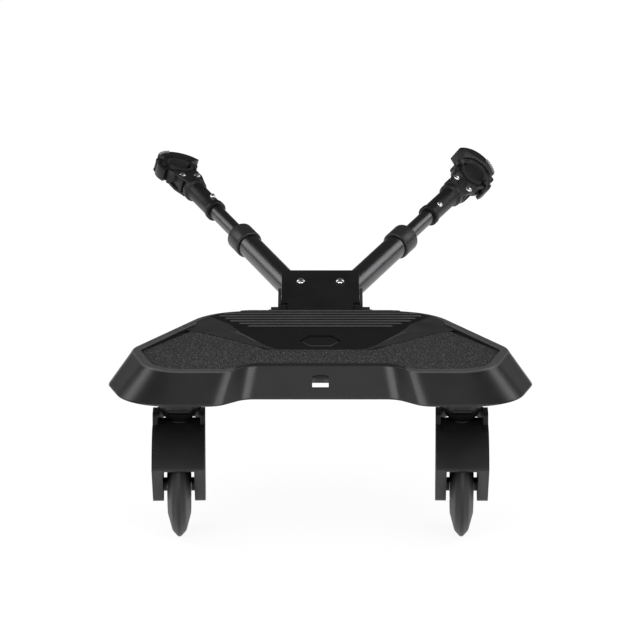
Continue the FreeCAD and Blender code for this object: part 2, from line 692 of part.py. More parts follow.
def caster_socket():
    """A barrel with a ball-shaped lower end, bored for the kingpin."""
    ball = sphere(D.socket_radius, (0, 0, socket_centre))
    trim = cylinder(D.socket_radius + D.wall, D.socket_radius * 2, (0, 0, socket_flat))
    tube = cylinder(D.socket_radius, ceiling - socket_centre, (0, 0, socket_centre))
    flange = cylinder(D.flange_radius, D.flange_height, (0, 0, flange_low))
    hollow = cylinder(D.king_head_radius + D.king_head_room, ceiling - head_seat, (0, 0, head_seat))
    king_bore = cylinder(D.kingpin_radius + D.running_fit, ceiling - socket_flat, (0, 0, socket_flat))
    window_low = socket_flat + D.window_rise
    window = box((-D.window_half, -D.socket_radius - D.overlap, window_low),
                 (D.window_half, D.window_depth - D.socket_radius, window_low + D.window_height))
    return cut(fuse(common(ball, trim), tube, flange), hollow, king_bore, window, *socket_holes())


def kingpin():
    seat = head_seat + D.running_fit
    top = head_seat + D.king_head_height
    return lathe("KingpinBody", [
        (dim(0), kingpin_low), (D.kingpin_radius, kingpin_low), (D.kingpin_radius, seat),
        (D.king_head_radius, seat), (D.king_head_radius, top), (dim(0), top)])


def fork():
    """Two legs and a hood over the wheel, and two cheeks and a round back on top about the socket."""
    strut = new_body("StrutBody")
    strut_sketch = sketch_in(strut, "yz")
    rounded(strut_sketch, [(-D.caster_trail, D.wheel_radius, D.leg_end_radius, 1),
                           (D.cheek_front, cheek_top - D.cheek_round, D.cheek_round, 1),
                           (-D.cheek_back, cheek_top - D.cheek_round, D.cheek_round, 1)])
    pad(strut, strut_sketch, D.fork_half_width * 2, both=True)
    hood_low = D.hood_start - QUARTER
    plate_round = D.leg_plate_round
    plate_reach = hood_radius - plate_round
    legs = sketch_in(strut, "yz")
    rounded(legs, [
        (-D.caster_trail, D.wheel_radius, D.leg_end_radius, 1),
        (-D.caster_trail, D.wheel_radius + plate_reach - D.leg_plate_drop, plate_round, 1),
        (plate_reach * hood_low.sin() - D.caster_trail, D.wheel_radius + plate_reach * hood_low.cos(),
         plate_round, 1)])
    pad(strut, legs, D.fork_half_width * 2, both=True)
    hood = put(sector(D.hood_root, hood_radius, D.fork_half_width, hood_low, hood_low + D.hood_sweep),
               (0, -D.caster_trail, D.wheel_radius))
    slot = cylinder(hood_bore, D.fork_slot_half * 2,
                    (-D.fork_slot_half, -D.caster_trail, D.wheel_radius), "x")
    well_half = D.socket_radius + D.well_gap
    well_reach = D.caster_trail + hood_radius
    well = box((-well_half, -well_reach, fork_floor - D.well_depth),
               (well_half, well_reach, cheek_top + D.overlap))
    back_low = fork_floor - D.well_depth - D.overlap
    back = common(ring(well_half, well_half + D.wall, back_low, cheek_top - D.overlap),
                  box((-D.fork_half_width, 0, back_low), (D.fork_half_width, D.fork_half_width, cheek_top)))
    boss = cylinder(D.boss_radius, D.boss_height, (0, 0, fork_floor - D.boss_height))
    king_seat = cylinder(D.kingpin_radius, cheek_top - kingpin_low, (0, 0, kingpin_low))
    axle_hole = cylinder(D.axle_radius, D.fork_half_width * 2,
                         (-D.fork_half_width, -D.caster_trail, D.wheel_radius), "x")
    return cut(fuse(cut(fuse(strut, hood), slot, well), back, boss), king_seat, axle_hole)


def axle():
    bevel_radius = D.axle_radius - D.axle_bevel
    bevel_end = axle_end - D.axle_bevel
    return lathe("AxleBody", [
        (dim(0), -axle_end), (bevel_radius, -axle_end), (D.axle_radius, -bevel_end),
        (D.axle_radius, bevel_end), (bevel_radius, axle_end), (dim(0), axle_end)])


def spacers():
    low = bearing_face + D.running_fit
    return group(ring(D.axle_radius, D.spacer_radius, low, D.fork_slot_half),
                 ring(D.axle_radius, D.spacer_radius, -D.fork_slot_half, -low))


def wheel_core():
    """A dished disc with a bearing seat on each side of its hub."""
    edge = D.core_half_width - D.core_bevel
    inner_rim = D.tyre_seat_radius - D.core_rim
    foot = D.hub_radius + D.hub_slope
    return lathe("CoreBody", [
        (D.bearing_radius, -D.core_half_width), (D.hub_radius, -D.core_half_width), (foot, -D.core_dish),
        (inner_rim, -D.core_dish), (D.tyre_seat_radius, -edge), (D.tyre_seat_radius, edge),
        (inner_rim, D.core_dish), (foot, D.core_dish), (D.hub_radius, D.core_half_width),
        (D.bearing_radius, D.core_half_width), (D.bearing_radius, bearing_back), (D.core_bore, bearing_back),
        (D.core_bore, -bearing_back), (D.bearing_radius, -bearing_back)])


def tyre():
    """A tread that narrows to a rounded ridge."""
    body = new_body("TyreBody")
    sketch = sketch_in(body, "xz")
    bead = D.tyre_bead_radius
    bead_r = D.tyre_seat_radius + bead
    bead_z = D.core_half_width - D.tyre_bead_inset
    rounded(sketch, [
        (bead_r, -bead_z, bead, 1), (flank_reach, dim(0), D.tyre_flank_radius, 1),
        (D.wheel_radius - D.tyre_tip_radius, dim(0), D.tyre_tip_radius, 1),
        (flank_reach, dim(0), D.tyre_flank_radius, 1), (bead_r, bead_z, bead, 1)])
    revolve(body, sketch)
    return body


def bearings():
    return group(ring(axle_bore, D.bearing_radius, bearing_back, bearing_face),
                 ring(axle_bore, D.bearing_radius, -bearing_face, -bearing_back))


for label, side in SIDES:
    at_socket = shift(caster_offset * side, D.caster_trail)
    at_caster = at_socket * turn(AXIS_Z, -D.caster_angle * side)
    at_wheel = at_caster * shift(0, -D.caster_trail, D.wheel_radius) * turn(AXIS_Y, QUARTER)
    node(caster_socket(), label + "_caster_socket", at_socket)
    node(kingpin(), label + "_kingpin", at_caster)
    node(fork(), label + "_fork", at_caster)
    node(axle(), label + "_axle", at_wheel)
    node(spacers(), label + "_spacers", at_wheel)
    node(wheel_core(), label + "_wheel_core", at_wheel)
    node(tyre(), label + "_tyre", at_wheel)
    node(bearings(), label + "_bearings", at_wheel)

# Arms: local Z runs out along the tube, local X is the bracket's normal.
inner_start = D.bush_stop - D.free_gap - D.bead_length
inner_end = inner_start + D.inner_tube_length
bush_end = D.bush_stop + D.bush_length
collar_start = D.outer_tube_end - D.collar_overlap
collar_end = collar_start + D.collar_length
tube_bore = D.outer_tube_radius - D.outer_tube_wall
inner_bore = D.inner_tube_radius - D.inner_tube_wall
bead_radius = tube_bore - D.bead_gap

# Clamps: local X is the axis of the frame tube that the clamp holds, local Z points away from the arm.
pad_outer = D.clamp_bore + D.pad_wall
jaw_outer = pad_outer + D.jaw_wall
jaw_pin_w = D.jaw_pin_inset - jaw_outer
claw_radius = jaw_outer + D.claw_rise
pin_reach = jaw_outer + D.lever_pin_rise
pin_u = pin_reach * D.lever_pin_angle.cos()
pin_w = pin_reach * D.lever_pin_angle.sin()
lug_clear = D.jaw_lug_radius + D.free_gap
lever_in = jaw_outer + D.free_gap * 2
lever_out = lever_in + D.lever_shell
cheek_in = D.jaw_half + D.running_fit * 2
rivet_u = -(jaw_outer + D.clamp_rivet_rise)
sleeve_end = jaw_outer + D.clevis_length
sleeve_back = sleeve_end - D.sleeve_flange_length
sleeve_start = sleeve_end + D.sleeve_length
sleeve_radius = D.inner_tube_radius + D.sleeve_wall
button_u = -(sleeve_end + D.button_setback)
clamp_reach = inner_end + D.sleeve_web + sleeve_end
through = D.head_half + D.overlap


def arm_frame(side, swing):
    """The arm's frame at its pivot, in the board's frame."""
    angle = math.radians(swing.value)
    out = V(side * math.sin(angle), math.cos(angle), 0)
    across = out.cross(AXIS_Z)
    turned = FreeCAD.Matrix(0, across.x, out.x, 0, 0, across.y, out.y, 0, 1, across.z, out.z, 0, 0, 0, 0, 1)
    return at_bracket * shift(D.pivot_x * side, D.pivot_y, arm_level) * FreeCAD.Placement(turned)


def across_x(radius, half, w, u):
    """A cylinder along local X through a point of the clamp's plane."""
    return cylinder(radius, dim(half) * 2, (-dim(half), w, u), "x")


def rivet_bores(half):
    return [across_x(D.clamp_rivet_radius, half, D.clamp_rivet_w * s, rivet_u) for s in (-1, 1)]


def arm_knuckle():
    """A thick disc on the pivot rivet, with a plug that the outer tube is pressed over."""
    disc = across_x(D.knuckle_radius, D.knuckle_height / 2, 0, 0)
    seat = ring(tube_bore, D.outer_tube_radius, D.outer_tube_start, D.knuckle_radius + D.overlap)
    neck = cylinder(D.outer_tube_radius, D.outer_tube_start)
    plug = cylinder(tube_bore, D.knuckle_reach)
    pivot = across_x(D.rivet_radius + D.running_fit, D.knuckle_height, 0, 0)
    return cut(fuse(cut(disc, seat), neck, plug), pivot)


def lock_collar():
    bore = D.outer_tube_radius + D.running_fit
    throat = D.inner_tube_radius + D.free_gap
    outer = D.outer_tube_radius + D.collar_wall
    step = D.outer_tube_end + D.free_gap
    return lathe("CollarBody", [
        (bore, collar_start), (outer - D.collar_bevel, collar_start), (outer, collar_start + D.collar_bevel),
        (outer, collar_end - D.collar_bevel), (outer - D.collar_bevel, collar_end), (throat, collar_end),
        (throat, step), (bore, step)])


def inner_tube():
    """The sliding tube, with a bead to either side of the bush that it turns in."""
    second = bush_end + D.free_gap
    tube = lathe("InnerTubeBody", [
        (inner_bore, inner_start), (bead_radius, inner_start), (bead_radius, inner_start + D.bead_length),
        (D.inner_tube_radius, inner_start + D.bead_length), (D.inner_tube_radius, second),
        (bead_radius, second), (bead_radius, second + D.bead_length),
        (D.inner_tube_radius, second + D.bead_length), (D.inner_tube_radius, inner_end),
        (inner_bore, inner_end)])
    hole = cylinder(D.button_radius + D.free_gap, D.inner_tube_radius * 2,
                    (0, 0, clamp_reach + button_u), "x")
    return cut(tube, hole)


def release_button():
    """A domed stud on a wider base that stays inside the tube."""
    base_low = D.button_base_height - D.button_base_thickness
    stem = cylinder(D.button_radius - D.free_gap, D.button_centre - D.button_base_height,
                    (D.button_base_height, 0, button_u), "x")
    base = cylinder(D.button_base_radius, D.button_base_thickness, (base_low, 0, button_u), "x")
    return fuse(sphere(D.button_radius, (D.button_centre, 0, button_u)), stem, base)


def connector_body():
    """A sleeve on the inner tube that opens into two cheeks."""
    lip_radius = sleeve_radius + D.sleeve_lip_rise
    flange = sleeve_radius + D.sleeve_flange_rise
    lip_end = D.sleeve_lip_length - sleeve_start
    tube_stop = -sleeve_end - D.sleeve_web
    sleeve = lathe("SleeveBody", [
        (D.inner_tube_radius, -sleeve_start), (lip_radius, -sleeve_start), (lip_radius, lip_end),
        (sleeve_radius, lip_end + D.sleeve_taper), (sleeve_radius, -sleeve_end - D.sleeve_flare),
        (flange, -sleeve_end - D.sleeve_flange_length), (flange, -sleeve_end), (dim(0), -sleeve_end),
        (dim(0), tube_stop), (D.inner_tube_radius, tube_stop)])
    clevis = new_body("ClevisBody")
    bridge = sketch_in(clevis, "yz", -D.head_half)
    rectangle(bridge, -D.clevis_narrow, D.clevis_narrow, -sleeve_end - D.overlap, -sleeve_back)
    pad(clevis, bridge, D.head_half * 2)
    shoulder_u = -(jaw_outer + D.clevis_shoulder)
    cheek_end = D.clevis_tuck - pad_outer
    for level in (cheek_in, -D.head_half):
        cheek = sketch_in(clevis, "yz", level)
        polygon(cheek, [
            (-D.clevis_narrow, -sleeve_end), (D.clevis_narrow, -sleeve_end), (D.clevis_wide, shoulder_u),
            (D.clevis_wide, cheek_end), (-D.clevis_wide, cheek_end), (-D.clevis_wide, shoulder_u)])
        pad(clevis, cheek, D.head_half - cheek_in)
    ring_gap = across_x(pad_outer + D.free_gap, through, 0, 0)
    button_hole = cylinder(D.button_radius + D.free_gap, sleeve_radius * 2, (0, 0, button_u), "x")
    return cut(fuse(sleeve, clevis), ring_gap, button_hole, *rivet_bores(through))


def connector_rivets():
    rivets = []
    for s in (-1, 1):
        w = D.clamp_rivet_w * s
        shank = across_x(D.clamp_rivet_radius, D.head_half, w, rivet_u)
        heads = [cylinder(D.clamp_rivet_head, D.clamp_rivet_dome, (start, w, rivet_u), "x")
                 for start in (D.head_half, -D.head_half - D.clamp_rivet_dome)]
        rivets.append(fuse(shank, *heads))
    return group(*rivets)


def saddle():
    """The fixed half of the clamp ring, with the lug that its jaw turns on."""
    half_ring = sector(pad_outer, jaw_outer, D.jaw_half, HALF - D.jaw_sweep, HALF + D.jaw_sweep)
    block = box((-D.jaw_half, -D.block_half, -sleeve_back),
                (D.jaw_half, D.block_half, -pad_outer - D.block_gap))
    relief = [cylinder(lug_clear, D.head_half, (start, jaw_pin_w, 0), "x")
              for start in (D.jaw_lug_half, -D.jaw_lug_half - D.head_half)]
    lug = across_x(D.jaw_lug_radius, D.jaw_lug_half, jaw_pin_w, 0)
    pin_bore = across_x(D.jaw_pin_radius + D.running_fit, through, jaw_pin_w, 0)
    return cut(fuse(cut(fuse(half_ring, block), *relief), lug), pin_bore, *rivet_bores(D.head_half))


def clamp_jaw():
    """The swinging half of the ring, with a claw at its free end and ears for the lever."""
    jaw_ring = sector(pad_outer, jaw_outer, D.head_half, -D.jaw_sweep, D.jaw_sweep)
    knuckle = across_x(D.jaw_lug_radius, D.head_half, jaw_pin_w, 0)
    root = jaw_outer - D.overlap
    claw_root = sector(root, claw_radius, D.jaw_half, D.claw_start, D.claw_root_end)
    claw_hook = sector(lever_in, claw_radius, D.jaw_half, D.claw_tip_start, D.claw_end)
    swept = across_x(jaw_outer - jaw_pin_w + D.free_gap, through, jaw_pin_w, 0)
    claw_tip = cut(claw_hook, swept)
    ear = sector(root, pin_reach, D.jaw_half, D.lever_pin_angle - D.ear_sweep,
                 D.lever_pin_angle + D.ear_sweep)
    ear_eye = across_x(D.lever_eye, D.jaw_half, pin_w, pin_u)
    lug_space = across_x(lug_clear, D.jaw_lug_half + D.free_gap, jaw_pin_w, 0)
    ear_slot = sector(jaw_outer + D.running_fit * 2, claw_radius + D.lever_eye * 2,
                      D.lever_ear_half + D.free_gap, D.lever_pin_angle - D.ear_slot_sweep,
                      D.lever_pin_angle + D.ear_slot_sweep)
    bores = [across_x(D.jaw_pin_radius, D.head_half, pin_w, pin_u),
             across_x(D.jaw_pin_radius, D.head_half, jaw_pin_w, 0),
             across_x(pad_outer, D.head_half, 0, 0)]
    return cut(fuse(jaw_ring, knuckle, claw_root, claw_tip, ear, ear_eye), lug_space, ear_slot, *bores)


def jaw_pin():
    heads = [cylinder(D.jaw_pin_head, D.jaw_pin_head_height, (start, jaw_pin_w, 0), "x")
             for start in (D.head_half, -D.head_half - D.jaw_pin_head_height)]
    return fuse(across_x(D.jaw_pin_radius, D.head_half, jaw_pin_w, 0), *heads)


def clamp_lever():
    """An over-centre lever that lies round the jaw and swells to a thick end."""
    bulge_u = D.lever_bulge * D.lever_bulge_angle.cos()
    bulge_w = -D.lever_bulge * D.lever_bulge_angle.sin()
    eye = across_x(D.lever_eye - D.free_gap, D.lever_ear_half, pin_w, pin_u)
    arch = sector(lever_in, lever_out, D.lever_ear_half, -D.lever_arch_start, D.lever_pin_angle)
    blade_start = D.lever_pin_angle - D.lever_blade_lap
    blade = sector(lever_in, lever_out, D.lever_half, -D.lever_end_angle, blade_start)
    swell = common(sector(lever_in, lever_out * 2, D.lever_half, -D.lever_end_angle, blade_start),
                   across_x(lever_out + D.lever_bulge, D.lever_half, bulge_w, bulge_u))
    eye_bore = across_x(D.jaw_pin_radius + D.running_fit, D.head_half, pin_w, pin_u)
    return cut(fuse(eye, arch, blade, swell), eye_bore)


for label, side in SIDES:
    swing, roll, draw, head_turn = (
        (D.left_swing, D.left_roll, D.left_draw, HALF) if side < 0 else
        (D.right_swing, D.right_roll, D.right_draw, 0))
    at_arm = arm_frame(side, swing)
    at_slide = at_arm * shift(0, 0, draw)
    at_roll = at_slide * turn(AXIS_Z, roll)
    at_clamp = at_roll * shift(0, 0, clamp_reach)
    at_head = at_clamp * turn(AXIS_Z, head_turn)
    node(arm_knuckle(), label + "_arm_knuckle", at_arm)
    outer_tube = ring(tube_bore, D.outer_tube_radius, D.outer_tube_start, D.outer_tube_end)
    node(outer_tube, label + "_outer_tube", at_arm)
    node(lock_collar(), label + "_lock_collar", at_arm)
    guide_bush = ring(D.inner_tube_radius + D.running_fit, tube_bore - D.running_fit, D.bush_stop, bush_end)
    node(guide_bush, label + "_guide_bush", at_slide)
    node(inner_tube(), label + "_inner_tube", at_roll)
    node(release_button(), label + "_release_button", at_clamp)
    node(connector_body(), label + "_connector_body", at_clamp)
    node(connector_rivets(), label + "_connector_rivets", at_clamp)
    node(saddle(), label + "_saddle", at_head)
    saddle_pad = sector(D.clamp_bore, pad_outer, D.pad_half, HALF - D.pad_sweep, HALF + D.pad_sweep)
    node(saddle_pad, label + "_saddle_pad", at_head)
    node(clamp_jaw(), label + "_clamp_jaw", at_head)
    jaw_pad = sector(D.clamp_bore, pad_outer, D.pad_half, -D.pad_sweep, D.pad_sweep)
    node(jaw_pad, label + "_jaw_pad", at_head)
    node(jaw_pin(), label + "_jaw_pin", at_head)
    node(clamp_lever(), label + "_clamp_lever", at_head)
    node(group(across_x(D.jaw_pin_radius, D.jaw_half, pin_w, pin_u)), label + "_lever_pin", at_head)

doc.recompute()

# Every piece is checked before anything is written.
faults = []
for thing in doc.Objects:
    if "Invalid" in thing.State or "Error" in thing.State:
        faults.append("%s: %s" % (thing.Name, ", ".join(thing.State)))
for thing in NODES:
    shape = thing.Shape
    if shape.isNull() or not shape.isValid() or not shape.Solids:
        faults.append(thing.Label + ": no valid solid")
if faults:
    raise RuntimeError("; ".join(faults))

os.makedirs("parts", exist_ok=True)
for thing in NODES:
    thing.Shape.exportStep(os.path.join("parts", thing.Label + ".step"))
    bounds = thing.Shape.BoundBox
    print("%-24s %d solids  volume %9.0f  X %.1f..%.1f  Y %.1f..%.1f  Z %.1f..%.1f" % (
        thing.Label, len(thing.Shape.Solids), thing.Shape.Volume, bounds.XMin, bounds.XMax,
        bounds.YMin, bounds.YMax, bounds.ZMin, bounds.ZMax))
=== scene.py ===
import json
import math

import bmesh
import bpy
from mathutils import Matrix, Quaternion, Vector

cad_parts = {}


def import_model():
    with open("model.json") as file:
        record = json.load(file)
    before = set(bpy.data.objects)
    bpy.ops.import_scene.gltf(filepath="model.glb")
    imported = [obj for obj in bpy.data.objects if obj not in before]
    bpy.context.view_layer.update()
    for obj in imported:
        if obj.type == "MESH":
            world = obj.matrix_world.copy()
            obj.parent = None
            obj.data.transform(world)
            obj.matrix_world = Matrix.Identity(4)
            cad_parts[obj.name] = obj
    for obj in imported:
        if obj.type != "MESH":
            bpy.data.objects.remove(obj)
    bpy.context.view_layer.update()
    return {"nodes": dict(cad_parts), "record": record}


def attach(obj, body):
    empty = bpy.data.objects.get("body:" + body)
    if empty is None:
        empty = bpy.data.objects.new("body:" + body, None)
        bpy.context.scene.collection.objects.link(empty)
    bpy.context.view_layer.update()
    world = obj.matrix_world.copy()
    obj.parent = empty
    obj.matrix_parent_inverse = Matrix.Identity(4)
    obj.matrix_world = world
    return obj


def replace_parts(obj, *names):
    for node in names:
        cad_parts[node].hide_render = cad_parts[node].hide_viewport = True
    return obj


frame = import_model()

MM = 0.001
SIDES = {"left": -1, "right": 1}
QUARTER = math.pi / 2

# Meshes: creases and rounded edges, in degrees and millimetres.
CREASE = 32.0
BEVEL_LIMIT = 30.0
BEVEL_SEGMENTS = 2
WELD = 0.005
FLAT_ANGLE = 0.6
ROUND_STEPS = 48
AXIS_RADIUS = 0.01
CUT_MARGIN = 5.0

# Heights of the deck, in millimetres.
RIM_Z = 141.0
LIP_Z = 172.0
RECESS_Z = 167.0
CEILING_Z = 163.5
PAD_Z = 168.5

# Wall and lip of the deck, in millimetres; the crown is inset against height.
WALL = 3.0
WALL_SHARES = (0.09, 0.25, 0.5, 0.75, 0.97)
LIP_WIDTH = 7.5
LIP_CROWN = [(0.0, 170.7), (0.12, 171.15), (0.4, 171.5), (1.0, 171.75), (2.5, 171.92),
             (5.1, 172.0)]
LIP_INNER_ROUND = 2.4
LIP_ROUND_STEPS = 5
RIM_ROUND = 0.8
RIM_OUTER_ROUND = 1.5
RIM_ROUND_STEPS = 4

# Where the lip gets a painted highlight, a lighter grey: above a height, on faces that look up, away from
# the rear hollow.
LIP_PAINTED_HIGHLIGHT_Z = 170.0
LIP_PAINTED_HIGHLIGHT_X = 80.0
LIP_PAINTED_HIGHLIGHT_Y = 40.0
LIP_PAINTED_HIGHLIGHT_SLOPE = 0.3

# Arcs of the deck's outlines from the rear hollow to the front corner: x, y, radius, side.
LIP_ARCS = [(55.7, -35.0, 22.0, -1), (94.3, -12.0, 22.0, 1), (128.5, 6.0, 40.0, 1),
            (153.5, 41.0, 25.0, 1), (71.0, 124.0, 60.0, 1)]
RIM_ARCS = [(62.0, -48.0, 22.0, -1), (106.0, -24.0, 26.0, 1), (140.0, 5.0, 55.0, 1),
            (173.5, 26.0, 29.0, 1), (82.0, 124.0, 60.0, 1)]
DECK_ARC_STEPS = (14, 14, 12, 16, 24)
LINE_STEPS = 6

# Grip pad: gap to the lip, its front and panel corners as x, y, radius, and its edge as depth and inset.
PAD_GAP = 0.15
PAD_FRONT_CORNER = (114.0, 128.0, 6.0)
PAD_PANEL_CORNER = (50.0, 58.0, 6.0)
PAD_EDGE = [(0.5, 0.0), (0.15, 0.15), (0.0, 0.5)]
PAD_ARC_STEPS = (12,) * 6

# Middle panel: lines of half width against y, from its near edge to the front.
PANEL_NEAR_Y = 52.0
PANEL_FRONT_Y = 177.5
PANEL_FRONT_Z = 173.4
PANEL_FOOT = [(47.0, 52.0), (51.5, 53.4), (113.0, 111.0), (126.0, 117.0), (133.0, 119.0)]
PANEL_EDGE = 0.35
PANEL_LAP = 0.6
PANEL_SINK = 0.2
PANEL_NEAR_ROWS = (0.0, 1.0, 2.5, 5.0, 9.0)
PANEL_ROW_FIRST = 14
PANEL_ROW_STEP = 5
PANEL_CREASE = 14.0
# Side strips of the panel that take a lighter grey, a painted highlight on the sloped facets.
FACET_STRIPS = 2
# First strip of the ribs' lighter grey, a painted highlight on the ribs.
RIB_STRIP = 3
FACET_FOOT = [(44.0, 52.0), (50.0, 58.0), (79.0, 106.0), (93.0, 118.0), (118.0, 133.0), (126.0, 145.0),
              (128.0, 178.0)]
FACET_TOP = [(42.0, 52.0), (49.0, 60.0), (54.0, 66.0), (78.0, 106.0), (83.0, 118.0), (89.0, 133.0),
             (103.0, 150.0), (110.0, 161.0), (108.0, 178.0)]
FACET_FOOT_GAP = 0.4
FACET_TOP_GAP = 0.8
FACET_TOUCH = 0.01
RIB_ENDS = [(71.5, 127.0), (80.8, 135.4), (90.0, 143.8), (95.0, 152.2), (101.0, 160.6), (97.0, 169.0),
            (88.0, 177.4)]
RIB_END_GAP = 1.0
RIB_END_SLOPE = 2.0
RIB_COUNT = 7
RIB_FIRST_Y = 126.0
RIB_PITCH = 8.4
RIB_HEIGHT = 1.1
RIB_HALF_TOP = 0.6
RIB_HALF_FOOT = 0.9

# Slot in the rear skirt: half width, lower edge, spring and rise of its arched top; and the flap in it.
SLOT_HALF = 7.7
SLOT_LOW = 151.3
SLOT_SPRING = 161.8
SLOT_RISE = 1.2
SLOT_CUT_Y = (0.0, -60.0)
ARCH_STEPS = 12
FLAP_LOW = 155.6
FLAP_GAP = 0.9
FLAP_LAP = 0.4
FLAP_INSET = 0.3
FLAP_THICKNESS = 2.0
FLAP_BEVEL = 0.25

# Braces and seat-post socket under the deck.
BRACE_LAP = 0.5
BRACE_BEVEL = 0.5
CROSS_BRACE_HALF = 68.0
CROSS_BRACE_Y = (39.0, 41.6)
SIDE_BRACE_X = 70.0
SIDE_BRACE_HALF = 1.3
SIDE_BRACE_Y = (0.0, 182.0)
SIDE_BRACE_LOW = 149.5
SOCKET_INNER = 10.0
SOCKET_OUTER = 14.0

# Hexagonal cover of the seat-post socket, with its notches and spigot.
COVER_Y = 79.5
COVER_RADIUS = 19.8
COVER_TOP = 169.3
COVER_GAP = 0.35
COVER_BEVEL = 0.6
COVER_CREASE = 20.0
# Slopes of the lid's bevel faces that get a lighter grey, a painted highlight along its edge.
COVER_BEVEL_SLOPES = (0.2, 0.95)
NOTCH_RADIUS = 2.4
NOTCH_INSET = 0.6
NOTCH_FLOOR = 1.5
NOTCH_STEPS = 24
SPIGOT_INNER = 7.85
SPIGOT_OUTER = 9.95
SPIGOT_LOW = 159.0
SPIGOT_LAP = 0.2

# Rivets of a connector: radius and height of one half, from the middle of the rivet's length.
RIVET_PROFILE = [(AXIS_RADIUS, 11.1), (1.3, 11.0), (2.4, 10.6), (3.2, 10.0), (3.6, 9.5), (3.7, 9.3),
                 (2.5, 9.3)]
RIVET_STEPS = 40

# Lever of a clamp: sizes of its back, angles from the arm's line, and the beaded rims.
LEVER_OUT = 24.3
LEVER_HALF = 10.2
LEVER_PIN_ANGLE = 46.0
LEVER_BULGE = 4.6
LEVER_BULGE_ANGLE = 58.0
BEADS_START = 33.0
BEADS_END = -2.0
BEADS_COUNT = 6
BEADS_SECTIONS = 60
BEADS_SIDES = 10
BEADS_THIN = 0.9
BEADS_THICK = 1.7
BEADS_SINK = 1.5
BEADS_PROUD = 0.2
BEADS_CREASE = 60.0

# Finishes: darkest and lightest grey, roughness and its spread, grain's scale and depth, specular, metallic.
FINISHES = {
    "deck_plastic": (0.011, 0.015, 0.31, 0.03, 2600.0, 0.04, 0.42, 0.0),
    "panel_plastic": (0.0040, 0.0055, 0.36, 0.05, 3200.0, 0.2, 0.16, 0.0),
    # Lip grey: a lighter grey that paints the highlight on the lip's up-facing faces.
    "lip_painted_highlight": (0.055, 0.070, 0.42, 0.05, 2600.0, 0.15, 0.4, 0.0),
    # Facet grey: a lighter grey that paints the light the panel's sloped side facets catch; their higher
    # roughness is the finish's own.
    "facet_painted_highlight": (0.022, 0.032, 0.45, 0.05, 3200.0, 0.2, 0.3, 0.0),
    # Rib and bevel grey: a lighter grey that paints the highlights on the panel's ribs and along the lid's
    # bevel.
    "rib_and_bevel_painted_highlight": (0.036, 0.050, 0.45, 0.05, 3200.0, 0.2, 0.4, 0.0),
    "moulded_plastic": (0.014, 0.019, 0.36, 0.06, 2400.0, 0.2, 0.5, 0.0),
    "clamp_plastic": (0.006, 0.009, 0.40, 0.06, 2400.0, 0.2, 0.36, 0.0),
    "rim_plastic": (0.20, 0.26, 0.42, 0.05, 2400.0, 0.15, 0.4, 0.0),
    "fork_plastic": (0.010, 0.014, 0.48, 0.06, 2400.0, 0.2, 0.35, 0.0),
    "channel_coat": (0.022, 0.030, 0.45, 0.05, 3000.0, 0.2, 0.4, 0.0),
    "socket_plastic": (0.008, 0.012, 0.36, 0.05, 2200.0, 0.15, 0.45, 0.0),
    "powder_coat": (0.005, 0.008, 0.40, 0.05, 3000.0, 0.3, 0.4, 0.0),
    "anodised_tube": (0.115, 0.14, 0.33, 0.03, 1600.0, 0.05, 0.5, 1.0),
    "dark_steel": (0.03, 0.05, 0.40, 0.08, 1800.0, 0.2, 0.5, 0.6),
    "tyre_rubber": (0.010, 0.016, 0.50, 0.08, 1500.0, 0.3, 0.4, 0.0),
    "pad_rubber": (0.015, 0.02, 0.7, 0.06, 1500.0, 0.3, 0.3, 0.0),
    "bush_plastic": (0.05, 0.07, 0.5, 0.06, 1200.0, 0.2, 0.5, 0.0),
}
PATCH_SCALE = 35.0
PATCH_DETAIL = 4.0
PATCH_ROUGHNESS = 0.6
PATCH_ENDS = (0.3, 0.7)
GRAIN_HEIGHT = 0.0002
GRAIN_DETAIL = 2.0
GRAIN_ROUGHNESS = 0.5
COOL = 1.03

# Anti-slip grit: its ramp is place against colour, the ends first.
GRIT_CELLS = 900.0
GRIT_SPECKS = 640.0
GRIT_SPECK_DETAIL = 3.0
GRIT_SPECK_ROUGHNESS = 0.7
GRIT_ENDS = [(0.40, (0.012, 0.012, 0.0123, 1)), (0.68, (0.20, 0.20, 0.202, 1))]
GRIT_MIDDLE = (0.56, (0.042, 0.042, 0.043, 1))
GRIT_BUMP = 0.8
GRIT_HEIGHT = 0.0006
GRIT_ROUGHNESS = 0.85
GRIT_SPECULAR = 0.25

# Bright metals: grey and roughness.
METALS = {"rivet_steel": (0.75, 0.22), "bearing_steel": (0.6, 0.3)}
MARK_SCALE = 900.0
MARK_GLOSS = (0.7, 1.3)
MARK_DARK = (0.9, 0.91)
MARK_COOL = 1.01

# CAD shapes that are kept with softened edges: finish, body, width of the rounding.
ROUNDED = {
    "hinge_base": ("powder_coat", "deck", 0.8),
    "bracket_plate": ("powder_coat", "bracket", 0.5),
    "bracket_channel": ("channel_coat", "bracket", 0.5),
}
SIDE_ROUNDED = {
    "caster_socket": ("socket_plastic", None, 0.6),
    "fork": ("fork_plastic", "caster", 1.4),
    "arm_knuckle": ("moulded_plastic", "arm", 0.8),
    "lock_collar": ("moulded_plastic", "collar", 0.6),
    "connector_body": ("clamp_plastic", "connector", 0.8),
    "saddle": ("clamp_plastic", "connector", 0.8),
    "clamp_jaw": ("clamp_plastic", "jaw", 0.8),
    "clamp_lever": ("clamp_plastic", "lever", 1.4),
    "saddle_pad": ("pad_rubber", "connector", 0.4),
    "jaw_pad": ("pad_rubber", "jaw", 0.4),
    "wheel_core": ("moulded_plastic", "wheel", 0.4),
}

# CAD nodes that show as they are.
PLAIN = {
    "hinge_bolts": "dark_steel", "hinge_pin": "dark_steel", "caster_screws": "dark_steel",
    "pivot_rivets": "rivet_steel",
}
SIDE_PLAIN = {
    "kingpin": "dark_steel", "axle": "dark_steel", "spacers": "dark_steel", "tyre": "tyre_rubber",
    "bearings": "bearing_steel", "outer_tube": "anodised_tube", "guide_bush": "bush_plastic",
    "inner_tube": "anodised_tube", "release_button": "rivet_steel", "jaw_pin": "dark_steel",
    "lever_pin": "dark_steel",
}

